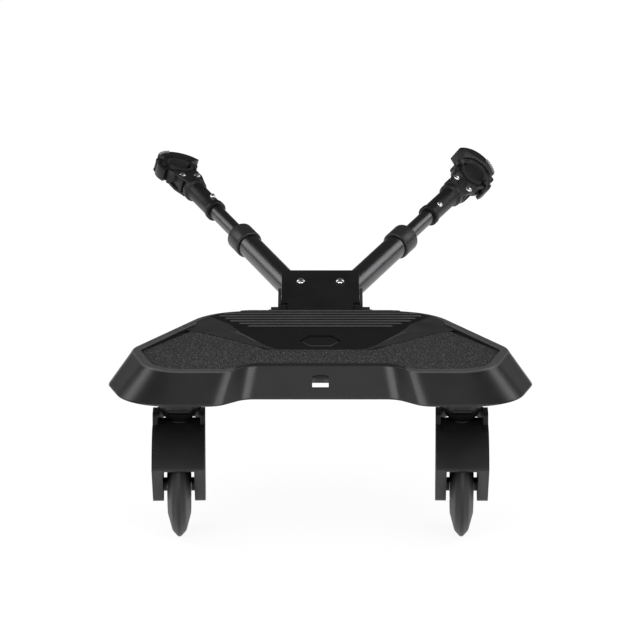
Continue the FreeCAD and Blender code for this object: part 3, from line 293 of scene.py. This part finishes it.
# Stage: places in metres, angles in degrees, levels as radiance.
TARGET = (0.0, 0.15, 0.15)
FLOOR_HALF = 9.0
FLOOR_PALE = 0.75
FLOOR_ROUGHNESS = 0.9
FLOOR_GLOW = 0.90
FLOOR_SHADE = 0.16
FLAG_RADIUS = 6.0
FLAG_STEPS = 36
FLAG_FOOT = 7.0
FLAG_OPEN_HEIGHT = 34.0
FLAG_OPEN_SIDE = 27.0
FLAG_LEVEL = 0.10
WORLD_LIGHT = 0.55
SIDE_LAMPS = {
    "softbox": {"azimuth": 40.0, "height": 14.5, "distance": 3.0, "size": (2.0, 0.45), "level": 8.6,
                "roll": -23.7},
    "wall": {"azimuth": 108.0, "height": 44.0, "distance": 2.6, "size": (1.1, 0.9), "level": 2.6,
             "glossy": False},
    "strip": {"azimuth": 107.0, "height": 33.0, "distance": 2.6, "size": (0.8, 1.5), "level": 2.9,
              "diffuse": False},
}
TOP_LAMP = {"azimuth": 0.0, "height": 62.0, "distance": 2.6, "size": (2.2, 1.6), "level": 0.8,
            "glossy": False}
CAMERA_LENS = 177.2
CAMERA_SENSOR = 36.0
CAMERA_PLACE = (-0.0004, -2.8574, 0.9772)
CAMERA_TILT = 75.0


# Meshes

def sharpen(bm, limit):
    """Smooth shading with a crease along every edge sharper than the limit."""
    bm.normal_update()
    for face in bm.faces:
        face.smooth = True
    for edge in bm.edges:
        if len(edge.link_faces) == 2:
            edge.smooth = edge.calc_face_angle(0.0) < math.radians(limit)


def piece(name, bm, materials, body, limit=CREASE):
    """A finished mesh that rides on a body."""
    sharpen(bm, limit)
    mesh = bpy.data.meshes.new(name)
    bm.to_mesh(mesh)
    bm.free()
    obj = bpy.data.objects.new(name, mesh)
    bpy.context.scene.collection.objects.link(obj)
    for material in materials:
        mesh.materials.append(finish[material])
    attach(obj, body)
    return obj


def loft(bm, rings):
    """A closed solid between rings of equal counts."""
    loops = [[bm.verts.new(p) for p in ring] for ring in rings]
    count = len(loops[0])
    for low, high in zip(loops, loops[1:]):
        for i in range(count):
            j = (i + 1) % count
            bm.faces.new((low[i], low[j], high[j], high[i]))
    bm.faces.new(list(reversed(loops[0])))
    bm.faces.new(loops[-1])


def bevel_sharp(bm, width):
    """Rounds every edge that is sharper than the limit."""
    bm.normal_update()
    limit = math.radians(BEVEL_LIMIT)
    edges = [e for e in bm.edges if len(e.link_faces) == 2 and e.calc_face_angle(0.0) > limit]
    bmesh.ops.bevel(bm, geom=edges, offset=width * MM, offset_type="OFFSET", segments=BEVEL_SEGMENTS,
                    profile=0.5, affect="EDGES", clamp_overlap=True)


def add_box(bm, low, high):
    """A closed block between two corners, in millimetres."""
    corners = [Vector((x, y, z)) * MM for z in (low[2], high[2]) for y in (low[1], high[1])
               for x in (low[0], high[0])]
    v = [bm.verts.new(c) for c in corners]
    for a, b, c, d in ((0, 2, 3, 1), (4, 5, 7, 6), (0, 1, 5, 4), (2, 6, 7, 3), (0, 4, 6, 2), (1, 3, 7, 5)):
        bm.faces.new((v[a], v[b], v[c], v[d]))


def lathe(bm, profile, steps, place):
    """A closed solid turned about local Z from (radius, height) points in millimetres."""
    rings = []
    for radius, height in profile:
        rings.append([place @ (Vector((radius * math.cos(a), radius * math.sin(a), height)) * MM)
                      for a in (2 * math.pi * k / steps for k in range(steps))])
    loops = [[bm.verts.new(p) for p in ring] for ring in rings]
    count = len(loops)
    for i in range(count):
        low, high = loops[i], loops[(i + 1) % count]
        for k in range(steps):
            j = (k + 1) % steps
            bm.faces.new((low[k], low[j], high[j], high[k]))


def cut_with(obj, cutter):
    """Takes a closed mesh out of a piece."""
    modifier = obj.modifiers.new("cut", "BOOLEAN")
    modifier.operation = "DIFFERENCE"
    modifier.solver = "EXACT"
    modifier.object = cutter
    graph = bpy.context.evaluated_depsgraph_get()
    mesh = bpy.data.meshes.new_from_object(obj.evaluated_get(graph))
    obj.modifiers.clear()
    obj.data = mesh
    bpy.data.objects.remove(cutter)


def loose(bm):
    """A scratch object for a cut."""
    mesh = bpy.data.meshes.new("scratch")
    bm.to_mesh(mesh)
    bm.free()
    obj = bpy.data.objects.new("scratch", mesh)
    bpy.context.scene.collection.objects.link(obj)
    return obj


def rounded_copy(node, material, body, width):
    """The CAD solid with its sharp edges rounded."""
    bm = bmesh.new()
    bm.from_mesh(frame["nodes"][node].data)
    bmesh.ops.remove_doubles(bm, verts=bm.verts, dist=WELD * MM)
    bmesh.ops.dissolve_limit(bm, angle_limit=math.radians(FLAT_ANGLE), verts=bm.verts, edges=bm.edges)
    bevel_sharp(bm, width)
    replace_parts(piece(node + "_finished", bm, [material], body), node)


# Outlines

def outline(half, inset=0.0, arc_steps=DECK_ARC_STEPS):
    """Points of a closed outline, anticlockwise, from the arcs of its right half."""
    arcs = [(x, y, r - inset * s, s) for x, y, r, s in half]
    arcs += [(-x, y, r, s) for x, y, r, s in reversed(arcs)]
    count = len(arcs)
    centres = [Vector((x, y)) for x, y, r, s in arcs]
    signed = [r * s for x, y, r, s in arcs]
    leave = []
    arrive = [None] * count
    for i in range(count):
        j = (i + 1) % count
        span = centres[j] - centres[i]
        way = math.atan2(span.y, span.x) - math.asin((signed[j] - signed[i]) / span.length)
        normal = Vector((math.sin(way), -math.cos(way)))
        leave.append(centres[i] + normal * signed[i])
        arrive[j] = centres[j] + normal * signed[j]
    points = []
    for i, (x, y, r, s) in enumerate(arcs):
        a = math.atan2(arrive[i].y - y, arrive[i].x - x)
        b = math.atan2(leave[i].y - y, leave[i].x - x)
        sweep = (b - a) % (2 * math.pi) if s > 0 else -((a - b) % (2 * math.pi))
        steps = arc_steps[i if i < len(half) else count - 1 - i]
        for k in range(steps + 1):
            angle = a + sweep * k / steps
            points.append(Vector((x + r * math.cos(angle), y + r * math.sin(angle))))
        after = arrive[(i + 1) % count]
        for k in range(1, LINE_STEPS):
            points.append(leave[i].lerp(after, k / LINE_STEPS))
    return points


def raised(points, z):
    """Points of an outline at a height, in metres."""
    return [Vector((p.x, p.y, z)) * MM for p in points]


def deck_ring(z, inset=0.0):
    """The deck's outline at a height, moved in by an inset."""
    share = (z - RIM_Z) / (LIP_Z - RIM_Z)
    half = [tuple(a + (b - a) * share for a, b in zip(low[:3], high[:3])) + (low[3],)
            for low, high in zip(RIM_ARCS, LIP_ARCS)]
    return raised(outline(half, inset), z)


def between(line, y):
    """The half width of a line of (half width, y) points at y."""
    for (x0, y0), (x1, y1) in zip(line, line[1:]):
        if y <= y1:
            return x0 + (x1 - x0) * max(0.0, (y - y0) / (y1 - y0))
    return line[-1][0]


# Materials

def nodes_of(name):
    material = bpy.data.materials.new(name)
    material.use_nodes = True
    tree = material.node_tree
    return material, tree, tree.nodes["Principled BSDF"]


def add_node(tree, kind, **values):
    node = tree.nodes.new(kind)
    for key, value in values.items():
        if key in node.inputs:
            node.inputs[key].default_value = value
        else:
            setattr(node, key, value)
    return node


def grained(name, low, high, roughness, spread, grain, depth, specular, metallic):
    """A finish with a fine grain, soft patches of colour and uneven gloss."""
    material, tree, shader = nodes_of(name)
    link = tree.links.new
    coords = add_node(tree, "ShaderNodeTexCoord")
    patches = add_node(tree, "ShaderNodeTexNoise", Scale=PATCH_SCALE, Detail=PATCH_DETAIL,
                       Roughness=PATCH_ROUGHNESS)
    link(coords.outputs["Object"], patches.inputs["Vector"])
    colour = add_node(tree, "ShaderNodeValToRGB")
    for element, place, grey in zip(colour.color_ramp.elements, PATCH_ENDS, (low, high)):
        element.position = place
        element.color = (grey, grey, grey * COOL, 1)
    link(patches.outputs["Fac"], colour.inputs["Fac"])
    link(colour.outputs["Color"], shader.inputs["Base Color"])
    gloss = add_node(tree, "ShaderNodeMapRange")
    gloss.inputs["To Min"].default_value = roughness - spread
    gloss.inputs["To Max"].default_value = roughness + spread
    link(patches.outputs["Fac"], gloss.inputs["Value"])
    link(gloss.outputs["Result"], shader.inputs["Roughness"])
    fine = add_node(tree, "ShaderNodeTexNoise", Scale=grain, Detail=GRAIN_DETAIL, Roughness=GRAIN_ROUGHNESS)
    link(coords.outputs["Object"], fine.inputs["Vector"])
    bump = add_node(tree, "ShaderNodeBump", Strength=depth, Distance=GRAIN_HEIGHT)
    link(fine.outputs["Fac"], bump.inputs["Height"])
    link(bump.outputs["Normal"], shader.inputs["Normal"])
    shader.inputs["Specular IOR Level"].default_value = specular
    shader.inputs["Metallic"].default_value = metallic
    return material


def grit(name):
    """Anti-slip sheet: bright and dark specks in a rough ground."""
    material, tree, shader = nodes_of(name)
    link = tree.links.new
    coords = add_node(tree, "ShaderNodeTexCoord")
    cells = add_node(tree, "ShaderNodeTexVoronoi", Scale=GRIT_CELLS, Randomness=1.0)
    link(coords.outputs["Object"], cells.inputs["Vector"])
    specks = add_node(tree, "ShaderNodeTexNoise", Scale=GRIT_SPECKS, Detail=GRIT_SPECK_DETAIL,
                      Roughness=GRIT_SPECK_ROUGHNESS)
    link(coords.outputs["Object"], specks.inputs["Vector"])
    colour = add_node(tree, "ShaderNodeValToRGB")
    ramp = colour.color_ramp
    for element, (place, shade) in zip(ramp.elements, GRIT_ENDS):
        element.position = place
        element.color = shade
    ramp.elements.new(GRIT_MIDDLE[0]).color = GRIT_MIDDLE[1]
    link(specks.outputs["Fac"], colour.inputs["Fac"])
    link(colour.outputs["Color"], shader.inputs["Base Color"])
    bump = add_node(tree, "ShaderNodeBump", Strength=GRIT_BUMP, Distance=GRIT_HEIGHT)
    link(cells.outputs["Distance"], bump.inputs["Height"])
    link(bump.outputs["Normal"], shader.inputs["Normal"])
    shader.inputs["Roughness"].default_value = GRIT_ROUGHNESS
    shader.inputs["Specular IOR Level"].default_value = GRIT_SPECULAR
    return material


def bright_metal(name, grey, roughness):
    """Plated steel with fine turning marks."""
    material, tree, shader = nodes_of(name)
    link = tree.links.new
    coords = add_node(tree, "ShaderNodeTexCoord")
    marks = add_node(tree, "ShaderNodeTexNoise", Scale=MARK_SCALE, Detail=GRAIN_DETAIL,
                     Roughness=GRAIN_ROUGHNESS)
    link(coords.outputs["Object"], marks.inputs["Vector"])
    gloss = add_node(tree, "ShaderNodeMapRange")
    gloss.inputs["To Min"].default_value = roughness * MARK_GLOSS[0]
    gloss.inputs["To Max"].default_value = roughness * MARK_GLOSS[1]
    link(marks.outputs["Fac"], gloss.inputs["Value"])
    link(gloss.outputs["Result"], shader.inputs["Roughness"])
    colour = add_node(tree, "ShaderNodeValToRGB")
    dark, dark_blue = MARK_DARK
    colour.color_ramp.elements[0].color = (grey * dark, grey * dark, grey * dark_blue, 1)
    colour.color_ramp.elements[1].color = (grey, grey, grey * MARK_COOL, 1)
    link(marks.outputs["Fac"], colour.inputs["Fac"])
    link(colour.outputs["Color"], shader.inputs["Base Color"])
    shader.inputs["Metallic"].default_value = 1.0
    return material


finish = {name: grained(name, *values) for name, values in FINISHES.items()}
finish["grip_grit"] = grit("grip_grit")
finish.update({name: bright_metal(name, *values) for name, values in METALS.items()})


# Deck

def deck_shell():
    """Skirt, rounded lip, recess and hollow underside as one closed shell."""
    rings = [deck_ring(CEILING_Z, WALL), deck_ring(RIM_Z + RIM_ROUND, WALL),
             deck_ring(RIM_Z, WALL - RIM_ROUND)]
    for step in range(RIM_ROUND_STEPS + 1):
        angle = QUARTER * step / RIM_ROUND_STEPS
        rings.append(deck_ring(RIM_Z + RIM_OUTER_ROUND * (1 - math.cos(angle)),
                               RIM_OUTER_ROUND * (1 - math.sin(angle))))
    shoulder = LIP_CROWN[0][1]
    for share in WALL_SHARES:
        rings.append(deck_ring(RIM_Z + (shoulder - RIM_Z) * share))
    rings += [deck_ring(z, inset) for inset, z in LIP_CROWN]
    flat_end = LIP_WIDTH - LIP_INNER_ROUND
    for step in range(1, LIP_ROUND_STEPS + 1):
        angle = QUARTER * step / LIP_ROUND_STEPS
        z = LIP_Z - LIP_INNER_ROUND * (1 - math.cos(angle))
        rings.append(raised(outline(LIP_ARCS, flat_end + LIP_INNER_ROUND * math.sin(angle)), z))
    rings.append(raised(outline(LIP_ARCS, LIP_WIDTH), RECESS_Z))
    bm = bmesh.new()
    loft(bm, rings)
    bmesh.ops.recalc_face_normals(bm, faces=bm.faces)
    # Faces that look up on the lip's top and inner round get a lighter grey, a painted highlight.
    for face in bm.faces:
        middle = face.calc_center_median() / MM
        aside = abs(middle.x) > LIP_PAINTED_HIGHLIGHT_X or middle.y > LIP_PAINTED_HIGHLIGHT_Y
        if aside and middle.z > LIP_PAINTED_HIGHLIGHT_Z and face.normal.z > LIP_PAINTED_HIGHLIGHT_SLOPE:
            face.material_index = 1
    obj = piece("deck_moulding", bm, ["deck_plastic", "lip_painted_highlight"], "deck")
    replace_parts(obj, "deck_shell")
    slot = bmesh.new()
    arch = arched(SLOT_HALF, SLOT_LOW, SLOT_SPRING)
    loft(slot, [[Vector((x, y, z)) * MM for x, z in arch] for y in SLOT_CUT_Y])
    bmesh.ops.recalc_face_normals(slot, faces=slot.faces)
    cut_with(obj, loose(slot))


def arched(half, low, spring):
    """Points (x, z) of an opening with a low arch as its top."""
    points = [(-half, low), (half, low)]
    for k in range(ARCH_STEPS + 1):
        x = half * (1 - 2 * k / ARCH_STEPS)
        points.append((x, spring + SLOT_RISE * (1 - (x / half) ** 2)))
    return points


def rear_wall_y(z):
    """Where the rear skirt's middle stands at a height."""
    share = (z - RIM_Z) / (LIP_Z - RIM_Z)
    low = RIM_ARCS[0][1] + RIM_ARCS[0][2]
    high = LIP_ARCS[0][1] + LIP_ARCS[0][2]
    return low + (high - low) * share


def slot_flap():
    """Arched flap that closes the upper part of the rear slot."""
    arch = arched(SLOT_HALF + FLAP_LAP, FLAP_LOW, SLOT_SPRING - FLAP_GAP)
    bm = bmesh.new()
    loft(bm, [[Vector((x, rear_wall_y(z) + inset, z)) * MM for x, z in arch]
              for inset in (FLAP_INSET + FLAP_THICKNESS, FLAP_INSET)])
    bmesh.ops.recalc_face_normals(bm, faces=bm.faces)
    bevel_sharp(bm, FLAP_BEVEL)
    piece("slot_flap", bm, ["deck_plastic"], "deck")


def deck_ribs():
    """Stiffening ribs and the seat-post socket under the deck."""
    bm = bmesh.new()
    top = CEILING_Z + BRACE_LAP
    add_box(bm, (-CROSS_BRACE_HALF, CROSS_BRACE_Y[0], RIM_Z), (CROSS_BRACE_HALF, CROSS_BRACE_Y[1], top))
    for side in SIDES.values():
        middle = SIDE_BRACE_X * side
        add_box(bm, (middle - SIDE_BRACE_HALF, SIDE_BRACE_Y[0], SIDE_BRACE_LOW),
                (middle + SIDE_BRACE_HALF, SIDE_BRACE_Y[1], top))
    bevel_sharp(bm, BRACE_BEVEL)
    lathe(bm, [(SOCKET_INNER, RIM_Z), (SOCKET_OUTER, RIM_Z), (SOCKET_OUTER, top), (SOCKET_INNER, top)],
          ROUND_STEPS, over_socket(0.0))
    piece("deck_ribs", bm, ["deck_plastic"], "deck")


def over_socket(x):
    """A frame on the line across the seat-post socket's middle."""
    return Matrix.Translation(Vector((x, COVER_Y, 0)) * MM)


def panel_z(y):
    """Height of the panel's middle part at y."""
    return PAD_Z + (PANEL_FRONT_Z - PAD_Z) * (y - PANEL_NEAR_Y) / (PANEL_FRONT_Y - PANEL_NEAR_Y)


def wall_half(y):
    """Half width between the lip's inner walls, a little way into the lip."""
    best = 0.0
    points = outline(LIP_ARCS, LIP_WIDTH - PANEL_LAP)
    for a, b in zip(points, points[1:] + points[:1]):
        if (a.y - y) * (b.y - y) <= 0 and a.y != b.y:
            best = max(best, a.x + (b.x - a.x) * (y - a.y) / (b.y - a.y))
    return best


def panel_rows():
    """Rows across the panel from its near edge: y and the share of a rib's height."""
    rows = [(PANEL_NEAR_Y + k, 0.0) for k in PANEL_NEAR_ROWS]
    first_rib = RIB_FIRST_Y - RIB_HALF_FOOT
    rows += [(PANEL_NEAR_Y + k, 0.0)
             for k in range(PANEL_ROW_FIRST, int(first_rib - PANEL_NEAR_Y), PANEL_ROW_STEP)]
    for k in range(RIB_COUNT):
        middle = RIB_FIRST_Y + RIB_PITCH * k
        ribs = [(middle - RIB_HALF_FOOT, 0.0), (middle - RIB_HALF_TOP, 1.0), (middle + RIB_HALF_TOP, 1.0),
                (middle + RIB_HALF_FOOT, 0.0)]
        rows += [(y, share) for y, share in ribs if y < PANEL_FRONT_Y]
    rows.append((PANEL_FRONT_Y, 0.0))
    return rows


def panel_line(y, share):
    """Points (x, z) across the panel at y, from its left foot to its right foot."""
    foot = between(PANEL_FOOT, y) if y < PANEL_FOOT[-1][1] else wall_half(y)
    low = min(between(FACET_FOOT, y), foot - FACET_FOOT_GAP)
    high = min(between(FACET_TOP, y), low - FACET_TOP_GAP)
    rib_end = min(between(RIB_ENDS, y), high - RIB_END_GAP)
    z = panel_z(y)
    crest = z + RIB_HEIGHT * share
    at_wall = low >= foot - FACET_FOOT_GAP - FACET_TOUCH
    edge = z if at_wall else PAD_Z + PANEL_EDGE
    half = [(foot, edge), (low, edge), (high, z), (rib_end, z), (rib_end - RIB_END_SLOPE, crest),
            (rib_end / 2, crest), (0.0, crest)]
    return [(-x, h) for x, h in half] + [(x, h) for x, h in reversed(half[:-1])]


def border(grid):
    """The points round the edge of a grid of rows."""
    points = grid[0] + [row[-1] for row in grid[1:]] + list(reversed(grid[-1][:-1]))
    return points + [row[0] for row in reversed(grid[1:-1])]


def panel():
    """Smooth middle panel that rises to the front, with a facet on each side and ribs across."""
    rows = panel_rows()
    bm = bmesh.new()
    top_rows = [[bm.verts.new(Vector((x, y, h)) * MM) for x, h in panel_line(y, share)] for y, share in rows]
    base = (RECESS_Z - PANEL_SINK) * MM
    base_rows = [[bm.verts.new(Vector((v.co.x, v.co.y, base))) for v in row] for row in top_rows]
    for grid, up in ((top_rows, True), (base_rows, False)):
        for row, (a, b) in enumerate(zip(grid, grid[1:])):
            last = len(a) - 2
            for i in range(last + 1):
                quad = (a[i], a[i + 1], b[i + 1], b[i])
                face = bm.faces.new(quad if up else tuple(reversed(quad)))
                # Side strips get a lighter grey as painted highlight on the facets; rib faces get one as
                # painted highlight on the ribs.
                if up and (i < FACET_STRIPS or i > last - FACET_STRIPS):
                    face.material_index = 1
                if up and rows[row + 1][1] > 0 and RIB_STRIP <= i <= last - RIB_STRIP:
                    face.material_index = 2
    top_edge, low_edge = border(top_rows), border(base_rows)
    count = len(top_edge)
    for i in range(count):
        j = (i + 1) % count
        bm.faces.new((low_edge[i], low_edge[j], top_edge[j], top_edge[i]))
    bmesh.ops.recalc_face_normals(bm, faces=bm.faces)
    obj = piece("deck_panel", bm, ["panel_plastic", "facet_painted_highlight", "rib_and_bevel_painted_highlight"], "deck",
                PANEL_CREASE)
    hole = bmesh.new()
    hexagon_prism(hole, COVER_RADIUS + COVER_GAP, RECESS_Z - CUT_MARGIN, LIP_Z + CUT_MARGIN)
    cut_with(obj, loose(hole))


def hexagon_prism(bm, radius, low, high):
    """A closed prism over the seat-post socket."""
    rings = []
    for z in (low, high):
        rings.append([Vector((radius * math.cos(a), COVER_Y + radius * math.sin(a), z)) * MM
                      for a in (math.radians(60 * k) for k in range(6))])
    loft(bm, rings)


def grip_pad():
    """Gritty sheet in the recess, with softened edges."""
    half = [(x, y, r - (LIP_WIDTH + PAD_GAP) * s, s) for x, y, r, s in LIP_ARCS[:4]]
    x, y, radius = PAD_FRONT_CORNER
    half.append((x, y - PAD_GAP, radius - PAD_GAP, 1))
    x, y, radius = PAD_PANEL_CORNER
    half.append((x, y, radius + PAD_GAP, -1))
    bm = bmesh.new()
    rings = [raised(outline(half, 0.0, PAD_ARC_STEPS), RECESS_Z)]
    rings += [raised(outline(half, inset, PAD_ARC_STEPS), PAD_Z - depth) for depth, inset in PAD_EDGE]
    loft(bm, rings)
    bmesh.ops.recalc_face_normals(bm, faces=bm.faces)
    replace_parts(piece("grip_sheet", bm, ["grip_grit"], "deck"), "grip_pad")


def socket_cover():
    """Hexagonal lid flush with the panel, on a round spigot, with a notch at two tips."""
    bm = bmesh.new()
    hexagon_prism(bm, COVER_RADIUS, RECESS_Z, COVER_TOP)
    bevel_sharp(bm, COVER_BEVEL)
    # Bevel faces between these slopes get a lighter grey, a painted highlight along the lid's edge.
    steepest, flattest = COVER_BEVEL_SLOPES
    for face in bm.faces:
        if steepest < face.normal.z < flattest:
            face.material_index = 1
    lid = piece("socket_lid", bm, ["panel_plastic", "rib_and_bevel_painted_highlight"], "cover", COVER_CREASE)
    notch_low = RECESS_Z + NOTCH_FLOOR
    for side in SIDES.values():
        notch = bmesh.new()
        lathe(notch, [(AXIS_RADIUS, notch_low), (NOTCH_RADIUS, notch_low), (NOTCH_RADIUS, LIP_Z),
                      (AXIS_RADIUS, LIP_Z)], NOTCH_STEPS, over_socket(side * (COVER_RADIUS - NOTCH_INSET)))
        cut_with(lid, loose(notch))
    spigot = bmesh.new()
    spigot_top = RECESS_Z + SPIGOT_LAP
    lathe(spigot, [(SPIGOT_INNER, SPIGOT_LOW), (SPIGOT_OUTER, SPIGOT_LOW), (SPIGOT_OUTER, spigot_top),
                   (SPIGOT_INNER, spigot_top)], ROUND_STEPS, over_socket(0.0))
    piece("socket_lid_spigot", spigot, ["panel_plastic"], "cover")
    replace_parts(lid, "seat_socket_cover")


# Clamps

def joint_of(name):
    return next(j for j in frame["record"]["behaviour"]["joints"] if j["name"] == name)


def joint_axis(name):
    """The direction of a joint's axis at rest."""
    return Vector(joint_of(name)["axis"]).normalized()


def points_of(node):
    """The points of a CAD node and their mean."""
    points = [v.co for v in frame["nodes"][node].data.vertices]
    return points, sum(points, Vector()) / len(points)


def along(axis, centre):
    """A frame whose Z runs along an axis through a point in metres."""
    return Matrix.Translation(centre) @ axis.to_track_quat("Z", "Y").to_matrix().to_4x4()


def clamp_rivets(label):
    """Two rivets through a connector's cheeks, with domed heads."""
    node = label + "_connector_rivets"
    axis = joint_axis(label + "_jaw_open")
    points, middle = points_of(node)
    flat = [p - middle - axis * (p - middle).dot(axis) for p in points]
    way = max(flat, key=lambda p: p.length)
    bm = bmesh.new()
    profile = RIVET_PROFILE + [(r, -h) for r, h in reversed(RIVET_PROFILE)]
    for side in SIDES.values():
        group = [p for p in flat if p.dot(way) * side > 0]
        centre = middle + sum(group, Vector()) / len(group)
        lathe(bm, profile, RIVET_STEPS, along(axis, centre))
    bmesh.ops.recalc_face_normals(bm, faces=bm.faces)
    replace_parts(piece(label + "_domed_rivets", bm, ["rivet_steel"], label + "_connector"), node)


def lever_back(angle):
    """Distance from the clamp's middle to the lever's swollen back at an angle."""
    turned = angle + math.radians(LEVER_BULGE_ANGLE)
    radius = LEVER_OUT + LEVER_BULGE
    return LEVER_BULGE * math.cos(turned) + math.sqrt(radius ** 2 - (LEVER_BULGE * math.sin(turned)) ** 2)


def lever_rims(label):
    """A light beaded rim along each edge of a lever's back, at its pin end."""
    mount = next(m for m in frame["record"]["mounts"] if m["name"] == label + "_clamp")
    centre, axis = Vector(mount["pos_m"]), joint_axis(label + "_lever_open")
    first = Vector(joint_of(label + "_lever_open")["pos_m"]) - centre
    first = (first - axis * first.dot(axis)).normalized()
    second = axis.cross(first)
    if (points_of(label + "_clamp_lever")[1] - centre).dot(second) < 0:
        second = -second
    bm = bmesh.new()
    for side in SIDES.values():
        rings = []
        for k in range(BEADS_SECTIONS + 1):
            share = k / BEADS_SECTIONS
            angle = math.radians(BEADS_START + (BEADS_END - BEADS_START) * share)
            away = math.radians(LEVER_PIN_ANGLE) - angle
            outward = first * math.cos(away) + second * math.sin(away)
            radius = BEADS_THIN + (BEADS_THICK - BEADS_THIN) * abs(math.sin(math.pi * BEADS_COUNT * share))
            middle = centre + (outward * (lever_back(angle) - BEADS_SINK)
                               + axis * side * (LEVER_HALF + BEADS_PROUD)) * MM
            rings.append([middle + (outward * math.cos(a) + axis * math.sin(a)) * radius * MM
                          for a in (2 * math.pi * i / BEADS_SIDES for i in range(BEADS_SIDES))])
        loft(bm, rings)
    bmesh.ops.recalc_face_normals(bm, faces=bm.faces)
    piece(label + "_lever_rims", bm, ["rim_plastic"], label + "_lever", BEADS_CREASE)


deck_shell()
slot_flap()
deck_ribs()
panel()
grip_pad()
socket_cover()
for node, (material, body, width) in ROUNDED.items():
    rounded_copy(node, material, body, width)
for label in SIDES:
    for node, (material, body, width) in SIDE_ROUNDED.items():
        rounded_copy(label + "_" + node, material, label + "_" + body if body else "deck", width)
for label in SIDES:
    clamp_rivets(label)
    lever_rims(label)
for name, obj in frame["nodes"].items():
    material = PLAIN.get(name) or SIDE_PLAIN.get(name.split("_", 1)[1])
    if material:
        obj.data.materials.clear()
        obj.data.materials.append(finish[material])


# Stage

def is_seen(tree):
    """One for rays of the camera, of gloss and of glass, and nought for the rest."""
    path = add_node(tree, "ShaderNodeLightPath")
    total = path.outputs["Is Camera Ray"]
    for kind in ("Is Glossy Ray", "Is Transmission Ray"):
        either = add_node(tree, "ShaderNodeMath", operation="MAXIMUM")
        tree.links.new(total, either.inputs[0])
        tree.links.new(path.outputs[kind], either.inputs[1])
        total = either.outputs[0]
    return total


def stage_piece(name, bm, material):
    mesh = bpy.data.meshes.new(name)
    bm.to_mesh(mesh)
    bm.free()
    mesh.materials.append(material)
    obj = bpy.data.objects.new(name, mesh)
    bpy.context.scene.collection.objects.link(obj)
    return obj


def floor():
    """Nearly white where it is seen, with a faint shadow, and a pale floor to the light."""
    bm = bmesh.new()
    bmesh.ops.create_grid(bm, x_segments=1, y_segments=1, size=FLOOR_HALF)
    material, tree, shader = nodes_of("floor_white")
    link = tree.links.new
    shader.inputs["Base Color"].default_value = (FLOOR_PALE, FLOOR_PALE, FLOOR_PALE, 1)
    shader.inputs["Roughness"].default_value = FLOOR_ROUGHNESS
    shader.inputs["Specular IOR Level"].default_value = 0.0
    glow = add_node(tree, "ShaderNodeEmission", Strength=FLOOR_GLOW)
    shade = add_node(tree, "ShaderNodeBsdfDiffuse")
    shade.inputs["Color"].default_value = (FLOOR_SHADE, FLOOR_SHADE, FLOOR_SHADE, 1)
    both = add_node(tree, "ShaderNodeAddShader")
    link(glow.outputs["Emission"], both.inputs[0])
    link(shade.outputs["BSDF"], both.inputs[1])
    pick = add_node(tree, "ShaderNodeMixShader")
    link(is_seen(tree), pick.inputs["Fac"])
    link(shader.outputs["BSDF"], pick.inputs[1])
    link(both.outputs["Shader"], pick.inputs[2])
    link(pick.outputs["Shader"], tree.nodes["Material Output"].inputs["Surface"])
    stage_piece("floor", bm, material)


def flag():
    """A dark studio flag over and behind the object, which only its gloss shows."""
    bm = bmesh.new()
    bmesh.ops.create_uvsphere(bm, u_segments=FLAG_STEPS * 2, v_segments=FLAG_STEPS, radius=FLAG_RADIUS)
    gone = []
    for face in bm.faces:
        x, y, z = face.calc_center_median().normalized()
        height = math.degrees(math.asin(z))
        azimuth = abs(math.degrees(math.atan2(x, -y)))
        if height < FLAG_FOOT or (height < FLAG_OPEN_HEIGHT and azimuth < FLAG_OPEN_SIDE):
            gone.append(face)
    bmesh.ops.delete(bm, geom=gone, context="FACES")
    material, tree, shader = nodes_of("flag_dark")
    shader.inputs["Base Color"].default_value = (0, 0, 0, 1)
    shader.inputs["Specular IOR Level"].default_value = 0.0
    shader.inputs["Emission Color"].default_value = (1, 1, 1, 1)
    shader.inputs["Emission Strength"].default_value = FLAG_LEVEL
    obj = stage_piece("flag", bm, material)
    obj.visible_camera = False
    obj.visible_diffuse = False
    obj.visible_transmission = False
    obj.visible_shadow = False


def lamp(name, side, azimuth, height, distance, size, level, roll=0.0, glossy=True, diffuse=True):
    """A soft lamp that points at the object; azimuth is from the camera's side, level is its radiance."""
    data = bpy.data.lights.new(name, "AREA")
    data.shape = "RECTANGLE"
    data.size, data.size_y = size
    data.energy = level * math.pi * size[0] * size[1]
    obj = bpy.data.objects.new(name, data)
    a, h = math.radians(azimuth * side), math.radians(height)
    way = Vector((math.sin(a) * math.cos(h), -math.cos(a) * math.cos(h), math.sin(h)))
    obj.location = Vector(TARGET) + way * distance
    aim = (-way).to_track_quat("-Z", "Y") @ Quaternion((0, 0, 1), math.radians(roll * side))
    obj.rotation_euler = aim.to_euler()
    obj.visible_glossy = glossy
    obj.visible_diffuse = diffuse
    bpy.context.scene.collection.objects.link(obj)


def world():
    """White where it is seen, and a plain level of light on the object."""
    scene_world = bpy.data.worlds.new("studio")
    bpy.context.scene.world = scene_world
    scene_world.use_nodes = True
    tree = scene_world.node_tree
    level = add_node(tree, "ShaderNodeMapRange")
    level.inputs["To Min"].default_value = WORLD_LIGHT
    level.inputs["To Max"].default_value = 1.0
    tree.links.new(is_seen(tree), level.inputs["Value"])
    background = tree.nodes["Background"]
    background.inputs["Color"].default_value = (1, 1, 1, 1)
    tree.links.new(level.outputs["Result"], background.inputs["Strength"])


def camera():
    data = bpy.data.cameras.new("camera")
    data.lens = CAMERA_LENS
    data.sensor_width = CAMERA_SENSOR
    obj = bpy.data.objects.new("camera", data)
    obj.location = CAMERA_PLACE
    obj.rotation_euler = (math.radians(CAMERA_TILT), 0, 0)
    bpy.context.scene.collection.objects.link(obj)
    bpy.context.scene.camera = obj


floor()
flag()
world()
for label, side in SIDES.items():
    for kind, values in SIDE_LAMPS.items():
        lamp(label + "_" + kind, side, **values)
lamp("top_softbox", 1, **TOP_LAMP)
camera()
bpy.context.scene.view_settings.view_transform = "Standard"
